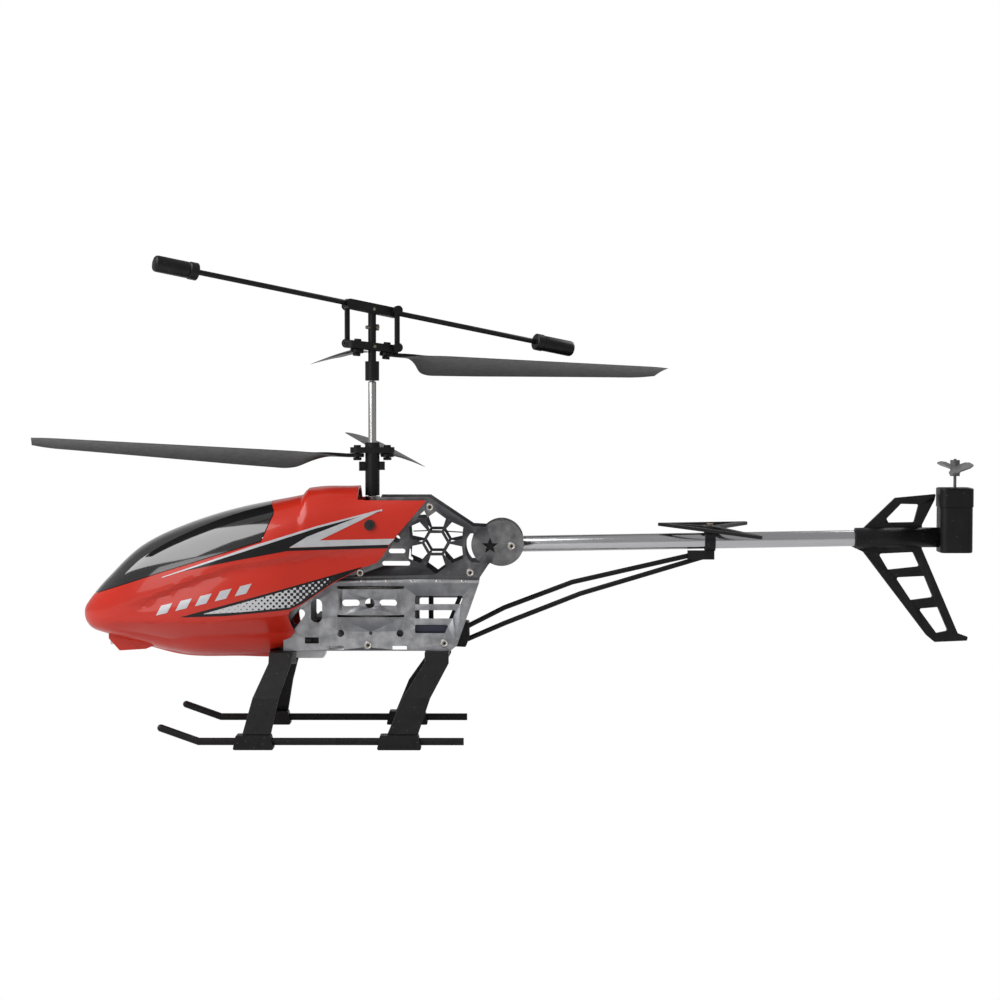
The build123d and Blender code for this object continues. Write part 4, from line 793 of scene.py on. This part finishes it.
    def film(self, name: str, low: list, high: list, side: int, proud: float) -> bpy.types.Object:
        """A thin film between two lines of the side view, lying on the shell.

        Args:
            name: the piece's name.
            low: the lower line's points, X rising.
            high: the upper line's points over the same X.
            side: -1 on the port side, 1 on the starboard.
            proud: how far it stands off the shell, in millimetres.

        Returns:
            The new closed object.
        """
        lows, highs = np.array(low, float), np.array(high, float)
        corners = np.unique(np.concatenate([lows[:, 0], highs[:, 0]]))
        x = np.unique(np.concatenate([np.linspace(corners[0], corners[-1], 90), corners]))[:, None]
        across = np.linspace(0, 1, 9)[None, :]
        under, over = np.interp(x, *lows.T), np.interp(x, *highs.T)
        z = under + (np.maximum(over, under + 0.03) - under) * across
        x = np.broadcast_to(x, z.shape)
        y = self.side(x, z)
        out = np.stack([x, side * (y + proud), z], axis=-1)
        back = np.stack([x, side * (y - 0.25), z], axis=-1)[:, ::-1]
        return closed_loft(name, np.concatenate([out, back], axis=1), 50.0)

    def printing(self, side: int, word: str) -> None:
        """The swoosh, the arrow, the dotted wedge and the row of slanted bars on one side."""
        swoosh = [
            ([(-90.9, 85.2), (-67.0, 90.2), (-39.9, 95.2), (-38.4, 97.2), (-30.2, 102.0), (5.1, 114.0)],
             [(-90.9, 85.4), (-56.3, 96.5), (-25.9, 106.2), (5.1, 114.1)]),
            ([(-39.9, 95.2), (8.2, 96.2)], [(-39.9, 96.6), (9.0, 97.9)]),
            ([(-92.0, 62.6), (-70.3, 63.4), (-39.2, 66.4), (-32.4, 69.5), (-17.2, 79.9), (-3.9, 86.6)],
             [(-92.0, 62.8), (-3.9, 87.0)]),
        ]
        silver = [
            ([(-101.4, 81.9), (-56.3, 96.4), (-25.9, 106.1), (5.1, 114.2)],
             [(-101.4, 82.3), (-56.3, 97.8), (-25.9, 107.1), (6.0, 115.2)]),
            ([(-38.5, 96.9), (-24.3, 100.2), (-4.2, 109.9), (6.1, 115.0)],
             [(-38.5, 97.0), (-30.3, 102.0), (-8.6, 110.3), (6.1, 115.1)]),
            ([(-38.5, 96.8), (9.5, 97.9), (12.2, 100.6)], [(-38.5, 96.9), (-24.3, 100.2), (12.2, 100.8)]),
        ]
        for i in range(5):
            start = -104.5 + 9.8 * i
            foot = 63.3 + 2.45 * i
            silver.append(
                ([(start, foot), (start + 5.6, foot + 1.4), (start + 8.2, foot + 6.2)],
                 [(start, foot + 0.1), (start + 2.6, foot + 4.9), (start + 8.2, foot + 6.3)])
            )
        films = [self.film("black", low, high, side, self.black_film) for low, high in swoosh]
        self.kit.add(joined(f"black_print_{word}", films), INK, "airframe")
        films = [self.film("silver", low, high, side, self.silver_film) for low, high in silver]
        self.kit.add(joined(f"silver_print_{word}", films), SILVER, "airframe")
        dots = self.film(
            f"dotted_print_{word}",
            [(-80.6, 64.3), (-62.7, 65.3), (-38.0, 67.7), (-20.8, 78.3), (-17.0, 82.2)],
            [(-80.6, 64.5), (-17.0, 82.6)], side, self.silver_film,
        )
        self.kit.add(dots, DOTS, "airframe")


# ------------------------------------------------------------------ rotors
def head_place(points: np.ndarray, pivot: float, tilt: float, turn: float) -> np.ndarray:
    """Points leaned about Y at a pivot's height, then turned about the mast."""
    return turn_z(turn_y(points, tilt, pivot), turn)


@dataclass
class Rotors:
    """The four main blades, the flybar with its weights, and the mast's bright tubes."""

    kit: Kit
    coning: float = 3.3
    lower_turn: float = 8.0
    head_turn: float = 27.0
    grip_tilt: float = 5.5
    grip_pivot: float = 195.4
    flybar_tilt: float = 9.7
    flybar_pivot: float = 214.0
    rod_height: float = 214.6
    # each root screw's distance from the mast and the height of the root's underside
    lower_root: tuple = (7.5, 140.25)
    upper_root: tuple = (8.0, 191.45)
    # how far the left and the right blade are folded round their screws, in degrees
    lower_folds: tuple = (2.0, 93.0)
    upper_folds: tuple = (-115.0, -2.0)
    # span, leading edge, trailing edge, thickness, pitch
    stations: tuple = (
        (1.0, 2.0, 2.0, 1.9, 0.0), (7.0, 2.1, 2.1, 1.9, 1.0), (13.0, 2.2, 3.4, 1.7, 10.0),
        (20.0, 2.6, 11.5, 1.5, 15.0), (28.0, 3.0, 23.6, 1.3, 18.6), (34.0, 3.1, 26.4, 1.2, 19.0),
        (60.0, 3.1, 25.2, 1.2, 18.2), (96.0, 3.1, 22.4, 1.1, 17.0), (148.8, 3.1, 18.4, 0.9, 15.0),
        (155.0, 2.6, 16.6, 0.8, 15.0), (160.0, 1.4, 13.6, 0.6, 15.0),
    )

    def build(self) -> None:
        """Makes all of it."""
        levels = (
            ("lower", 1, self.lower_root, self.lower_folds, 0.0, self.lower_turn),
            ("upper", -1, self.upper_root, self.upper_folds, self.grip_tilt, self.head_turn),
        )
        for i, (side, word, base) in enumerate(((-1, "left", 180.0), (1, "right", 0.0))):
            for level, hand, (reach, height), folds, tilt, turn in levels:
                node = f"{level}_blade_{word}"
                spot = (reach * side, 0.0, height)
                blade = self.blade(f"{node}_formed", hand, base + folds[i], spot, tilt, turn)
                self.kit.add(blade, GLOSS_BLACK, node, node)
        self.flybar()
        self.mast()

    def blade(
        self, name: str, hand: int, fold: float, spot: Point, tilt: float, turn: float
    ) -> bpy.types.Object:
        """One blade: a thin cambered aerofoil drawn along the span, with a flat round root.

        Across the chord, with c from 0 at the leading edge to 1 at the trailing one, the half
        thickness is t * (1.48 sqrt(c) - 0.63 c - 0.85 c^2 + 0.08) and the camber 0.9 t * 4c(1 - c).

        Args:
            name: the piece's name.
            hand: 1 where the leading edge is on the +Y side of the span, -1 where it's on the other.
            fold: the span's direction, in degrees from +X.
            spot: the root screw, at the root's underside.
            tilt: the head's lean, in degrees.
            turn: the hub's turn about the mast, in degrees.

        Returns:
            The new object.
        """
        table = np.array(self.stations)
        s = np.concatenate(
            [np.linspace(1.0, 40.0, 34), np.linspace(42.0, 148.0, 44), np.linspace(149.0, 160.0, 12)]
        )
        lead, trail, thick, pitch = (np.interp(s, table[:, 0], column)[:, None] for column in table[:, 1:].T)
        soft = np.exp(-((np.linspace(-2, 2, 9)) ** 2))
        soft /= soft.sum()
        lead, trail, pitch = (
            np.convolve(np.pad(v[:, 0], 4, mode="edge"), soft, mode="valid")[:, None]
            for v in (lead, trail, pitch)
        )
        c = 0.5 - 0.5 * np.cos(np.linspace(0, math.pi, 22))
        c = np.concatenate([c, c[-2:0:-1]])[None, :]
        face = np.concatenate([np.ones(22), -np.ones(20)])[None, :]
        flat = 1 - smoothstep(s, 8.0, 20.0)[:, None]
        wing = (1.48 * np.sqrt(c) - 0.63 * c - 0.85 * c**2 + 0.08) * 0.62
        slab = np.minimum(1.0, 12 * np.minimum(c, 1 - c) + 0.55)
        half = thick / 2 * (flat * slab + (1 - flat) * wing)
        camber = 0.9 * thick * 4 * c * (1 - c) * (1 - flat) - 0.2 * thick * (1 - flat)
        across, up = lead - c * (lead + trail), face * half + camber
        angle = np.radians(pitch)
        rise = 0.95 + np.clip(s - 5.0, 0, None)[:, None] * math.tan(math.radians(self.coning))
        x = np.broadcast_to(s[:, None], across.shape)
        y = hand * (across * np.cos(angle) - up * np.sin(angle))
        z = rise + across * np.sin(angle) + up * np.cos(angle)
        rings = np.stack([x, y, z], axis=-1)
        rings = head_place(turn_z(rings, fold) + np.array(spot), self.grip_pivot, tilt, turn)
        wing_piece = closed_loft(f"{name}_wing", rings, 40.0)
        foot, top = (
            head_place(np.array(spot) + (0.0, 0.0, z0), self.grip_pivot, tilt, turn) for z0 in (0.0, 1.9)
        )
        ring = [(0.0, 1.06), (0.0, 3.1), (0.3, 3.4), (1.6, 3.4), (1.9, 3.1), (1.9, 1.06)]
        root = bored(f"{name}_root", tuple(foot), tuple(top - foot), ring)
        return joined(name, [wing_piece, root])

    def flybar(self) -> None:
        """Two rods and the barrel weights on them, each weight with a ring at its inner end."""
        rods, weights = [], []
        profile = [
            (0.0, 1.35), (0.0, 3.9), (0.4, 4.3), (4.1, 4.3), (4.5, 3.9), (4.6, 3.7), (4.9, 3.95),
            (5.4, 4.0), (20.4, 4.0), (21.3, 3.8), (21.8, 3.35), (22.0, 2.8),
        ]
        for side in (-1, 1):
            places = [np.array((side * x, 0.0, self.rod_height)) for x in (5.0, 113.0, 92.95)]
            inner, outer, barrel = (
                head_place(place, self.flybar_pivot, self.flybar_tilt, self.head_turn) for place in places
            )
            along = tuple(outer - inner)
            rod = [(0, 1.2), (0.2, 1.32), (107.8, 1.32), (108, 1.2)]
            rods.append(turned("rod", tuple(inner), along, rod))
            weights.append(turned("weight", tuple(barrel), along, profile))
        self.kit.add(joined("flybar_rods_drawn", rods), BLACK, "flybar", "flybar_rods")
        self.kit.add(joined("flybar_weights_turned", weights), WEIGHT, "flybar", "flybar_weights")

    def mast(self) -> None:
        """The ground outer tube and the inner shaft that stands out of it."""
        outer = bored("outer_shaft_ground", (0, 0, 74.1), (0, 0, 1), [
            (0.0, 1.31), (0.0, 1.8), (0.2, 2.0), (103.6, 2.0), (103.9, 1.8), (103.9, 1.31)], 64)
        self.kit.add(outer, STEEL, "lower_rotor", "outer_shaft")
        inner = turned("inner_shaft_ground", (0, 0, 59.9), (0, 0, 1), [
            (0.0, 1.05), (0.2, 1.25), (133.3, 1.25), (133.5, 1.05)])
        self.kit.add(inner, STEEL, "upper_rotor", "inner_shaft")


# ------------------------------------------------------------------ frame dress
@dataclass
class FrameDress:
    """The boom tube and the small things on and inside the side frames."""

    kit: Kit
    boom_foot: Point = (59.0, 0.0, 96.6)
    boom_run: float = 203.0
    boom_rise: float = 0.97
    # each screw head's X, height and distance from the middle
    screws: tuple = (
        (29.3, 116.0, 17.5), (49.2, 83.6, 17.5), (-5.2, 83.6, 17.5), (69.6, 96.8, 17.5), (-1.3, 47.6, 17.2),
        (36.4, 48.6, 17.2),
    )

    def build(self) -> None:
        """Makes all of it."""
        self.boom()
        self.rims()
        self.studs()
        self.wiring()
        self.gland()

    def boom(self) -> None:
        """A drawn tube, 8 mm across with a 0.5 mm wall, rising a little to the tail."""
        lean = math.radians(self.boom_rise)
        length = self.boom_run / math.cos(lean)
        profile = [(0, 3.5), (0, 3.9), (0.2, 4.0), (length - 0.2, 4.0), (length, 3.9), (length, 3.5)]
        tube = bored("tail_boom_drawn", self.boom_foot, (math.cos(lean), 0.0, math.sin(lean)), profile, 72)
        self.kit.add(tube, ALUMINIUM, "airframe", "tail_boom")

    def rims(self) -> None:
        """A pale pressed ring round each screw, and a black disc in its head as painted shade for the screw's
        recess.
        """
        rings, recess_shades = [], []
        ring = [(0.0, 1.1), (0.0, 2.1), (0.25, 2.0), (0.78, 1.62), (0.82, 1.3), (0.7, 1.1)]
        for side in (-1, 1):
            for x, z, y in self.screws:
                place = (x, side * y, z)
                rings.append(bored("rim", place, (0, side, 0), ring, 32))
                # painted shade: a black disc sits in the ring to darken each screw's recess
                recess_shades.append(turned("core", place, (0, side, 0), [(0.3, 0.62), (0.66, 0.62)], 6))
        self.kit.add(joined("screw_rims", rings), PALE, "airframe")
        # the black discs are painted shade for the screw recesses, not real parts
        self.kit.add(joined("screw_recess_painted_shade", recess_shades), BLACK, "airframe")

    def studs(self) -> None:
        """Polished domes in pairs along the ledge's edge."""
        domes = []
        dome = [(0.0, 0.75), (0.25, 0.7), (0.45, 0.45), (0.52, 0.15)]
        for side in (-1, 1):
            for i in range(5):
                for shift, size in ((0.0, 1.0), (1.9, 0.6)):
                    profile = [(d, r * size) for d, r in dome]
                    place = (-4.5 + 12.4 * i + shift, side * 19.2, 79.5)
                    domes.append(turned("dome", place, (0, side, 0), profile, 20))
        self.kit.add(joined("ledge_studs", domes), PALE, "airframe")

    def wiring(self) -> None:
        """Two thin leads that run across inside the starboard upper plate."""
        routes = (
            [(33, 12, 112), (38, 11, 109), (45, 11, 105), (53, 12, 102), (60, 12, 101)],
            [(20, 12, 102.5), (30, 11, 102.8), (42, 10, 102.2), (52, 11, 101.4), (60, 12, 99.5)],
        )
        leads = [swept("lead", smooth_path(route, 60), 0.3) for route in routes]
        self.kit.add(joined("crossing_leads", leads), RUBBER, "airframe")

    def gland(self) -> None:
        """The grey ribbed sleeve beside the front leg."""
        profile = [(0.0, 1.2)]
        for i in range(5):
            low = 0.2 + 1.25 * i
            profile += [(low, 1.5), (low + 0.2, 2.0), (low + 0.75, 2.0), (low + 0.95, 1.5)]
        sleeve = turned("ribbed_sleeve", (-38.9, -14.5, 38.1), (0, 0, 1), profile + [(6.5, 1.2)], 32)
        self.kit.add(sleeve, GREY, "airframe")


# ------------------------------------------------------------------ studio
@dataclass
class Studio:
    """Pale floor, curved backdrop, soft lights and the camera."""

    eye: Point = (69.3, -1160.0, 168.8)
    lens: float = 83.52
    pitch: float = 87.53
    yaw: float = 0.27

    def build(self) -> None:
        """Makes all of it."""
        self.backdrop()
        self.lights()
        self.camera()
        scene = bpy.context.scene
        scene.view_settings.view_transform = "Standard"
        world = bpy.data.worlds.new("studio_air")
        world.use_nodes = True
        air = world.node_tree.nodes["Background"]
        air.inputs["Color"].default_value = (1.0, 1.0, 1.0, 1.0)
        ray = world.node_tree.nodes.new("ShaderNodeLightPath")
        level = world.node_tree.nodes.new("ShaderNodeMapRange")
        level.inputs["To Min"].default_value = 0.34
        level.inputs["To Max"].default_value = 1.0
        world.node_tree.links.new(ray.outputs["Is Camera Ray"], level.inputs["Value"])
        world.node_tree.links.new(level.outputs["Result"], air.inputs["Strength"])
        scene.world = world

    def backdrop(self) -> None:
        """A floor that curves up: flat to the bend, then a quarter circle, then a wall."""
        bend, radius = 900.0, 900.0
        a = np.linspace(0, math.pi / 2, 24)
        y = np.concatenate([[-1900.0, 0.0], bend + radius * np.sin(a), [bend + radius]])
        z = np.concatenate([[0.0, 0.0], radius - radius * np.cos(a), [2600.0]])
        x = np.linspace(-2600.0, 2600.0, 9)
        sheet = np.stack(np.broadcast_arrays(x[None, :], y[:, None], z[:, None]), axis=-1)
        floor = new_object("studio_floor", sheet, grid_faces(len(y), len(x)), 60.0)
        paint = bpy.data.materials.new("pale_floor")
        paint.use_nodes = True
        tree = paint.node_tree
        shader = tree.nodes["Principled BSDF"]
        shader.inputs["Base Color"].default_value = (0.72, 0.72, 0.72, 1.0)
        shader.inputs["Roughness"].default_value = 0.8
        ray = tree.nodes.new("ShaderNodeLightPath")
        white = tree.nodes.new("ShaderNodeEmission")
        white.inputs["Color"].default_value = (1.0, 1.0, 1.0, 1.0)
        white.inputs["Strength"].default_value = 1.0
        mix = tree.nodes.new("ShaderNodeMixShader")
        tree.links.new(ray.outputs["Is Camera Ray"], mix.inputs["Fac"])
        tree.links.new(shader.outputs["BSDF"], mix.inputs[1])
        tree.links.new(white.outputs["Emission"], mix.inputs[2])
        tree.links.new(mix.outputs["Shader"], tree.nodes["Material Output"].inputs["Surface"])
        floor.data.materials.append(paint)

    def lights(self) -> None:
        """A broad overhead box, a front fill and a rim light, each aimed at the object."""
        aim = Vector((20.0, 0.0, 100.0)) * MM
        for name, place, size, power in (
            ("overhead_box", (-760.0, -380.0, 1050.0), (1300.0, 800.0), 13.0),
            ("front_fill", (-900.0, -1300.0, 500.0), (700.0, 700.0), 3.5),
            ("rear_rim", (900.0, 700.0, 900.0), (600.0, 600.0), 5.0),
        ):
            data = bpy.data.lights.new(name, "AREA")
            data.shape = "RECTANGLE"
            data.size, data.size_y = size[0] * MM, size[1] * MM
            data.energy = power
            lamp = bpy.data.objects.new(name, data)
            lamp.location = Vector(place) * MM
            lamp.rotation_euler = (aim - lamp.location).to_track_quat("-Z", "Y").to_euler()
            bpy.context.scene.collection.objects.link(lamp)

    def camera(self) -> None:
        """The camera, out on the port side at a height between the two rotors."""
        data = bpy.data.cameras.new("camera")
        data.lens = self.lens
        data.sensor_width = 36.0
        camera = bpy.data.objects.new("camera", data)
        camera.location = Vector(self.eye) * MM
        camera.rotation_euler = (math.radians(self.pitch), 0.0, math.radians(self.yaw))
        bpy.context.scene.collection.objects.link(camera)
        bpy.context.scene.camera = camera


# Thin sheets cut through by many holes, whose edges stay plain.
PIERCED = (
    "upper_side_frame_left", "upper_side_frame_right", "lower_side_frame_left", "lower_side_frame_right",
    "mid_deck", "motor_plate", "stabiliser", "tail_fin", "upper_rotor_gear", "lower_rotor_gear",
)
# Each CAD node that is dressed as it stands, with its finish and how wide its edges are broken.
REFINED = {
    "upper_side_frame_left": (PLATE_DARK, 0.12), "upper_side_frame_right": (PLATE_DARK, 0.12),
    "lower_side_frame_left": (PLATE_LIGHT, 0.12), "lower_side_frame_right": (PLATE_LIGHT, 0.12),
    "mid_deck": (PLATE_LIGHT, 0.1), "frame_screws": (SCREW, 0.08), "frame_spacers": (BLACK, 0.1),
    "motor_plate": (BLACK, 0.1), "upper_bearing_block": (BLACK, 0.2), "shaft_bearings": (STEEL, 0.1),
    "main_motors": (CAN, 0.1), "canopy_pegs": (RUBBER, 0.15), "nose_lamp": (MILKY, 0.2),
    "battery_tray": (BLACK, 0.1), "battery": (SLEEVE, 0.2), "circuit_board": (BOARD, 0.05),
    "switch_body": (BLACK, 0.1), "switch_slider": (BLACK, 0.1), "lead_socket": (MILKY, 0.2),
    "boom_clamp": (BLACK, 0.2), "stabiliser": (BLACK, 0.15), "stabiliser_clamp": (BLACK, 0.2),
    "support_rods": (GLOSS_BLACK, 0.0), "rod_bracket": (BLACK, 0.2), "tail_fin": (BLACK, 0.2),
    "tail_motor_housing": (BLACK, 0.2), "tail_motor_cap": (BLACK, 0.2), "tail_motor": (CAN, 0.1),
    "tail_rotor": (TAIL_GREY, 0.1), "struts_left": (BLACK, 0.3), "struts_right": (BLACK, 0.3),
    "crossbars": (BLACK, 0.3), "skid_shoes": (BLACK, 0.4), "skid_tubes": (BLACK, 0.0),
    "lower_rotor_gear": (GEAR_GREY, 0.0), "upper_rotor_gear": (GEAR_GREY, 0.0), "lower_hub": (BLACK, 0.15),
    "lower_hub_screws": (BLACK, 0.1), "mast_collar": (BLACK, 0.2), "head_post": (BLACK, 0.1),
    "head_pins": (SCREW, 0.05), "upper_grip_bar": (BLACK, 0.15), "upper_grip_screws": (BLACK, 0.1),
    "flybar_hub": (BLACK, 0.2), "link_left": (BLACK, 0.15), "link_right": (BLACK, 0.15),
    "left_pinion": (STEEL, 0.0), "right_pinion": (STEEL, 0.0),
}


def main() -> None:
    """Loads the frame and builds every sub-assembly in order."""
    logging.basicConfig(level=logging.INFO)
    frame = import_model()
    for make in (grain_effect, speck_effect, wear_effect):
        make()
    kit = Kit(frame["nodes"], frame["bodies"], frame["record"])
    Studio().build()
    for node, (finish, bevel) in REFINED.items():
        kit.refine(node, finish, bevel)
    Canopy(kit).build()
    Rotors(kit).build()
    FrameDress(kit).build()


if __name__ == "__main__":
    main()
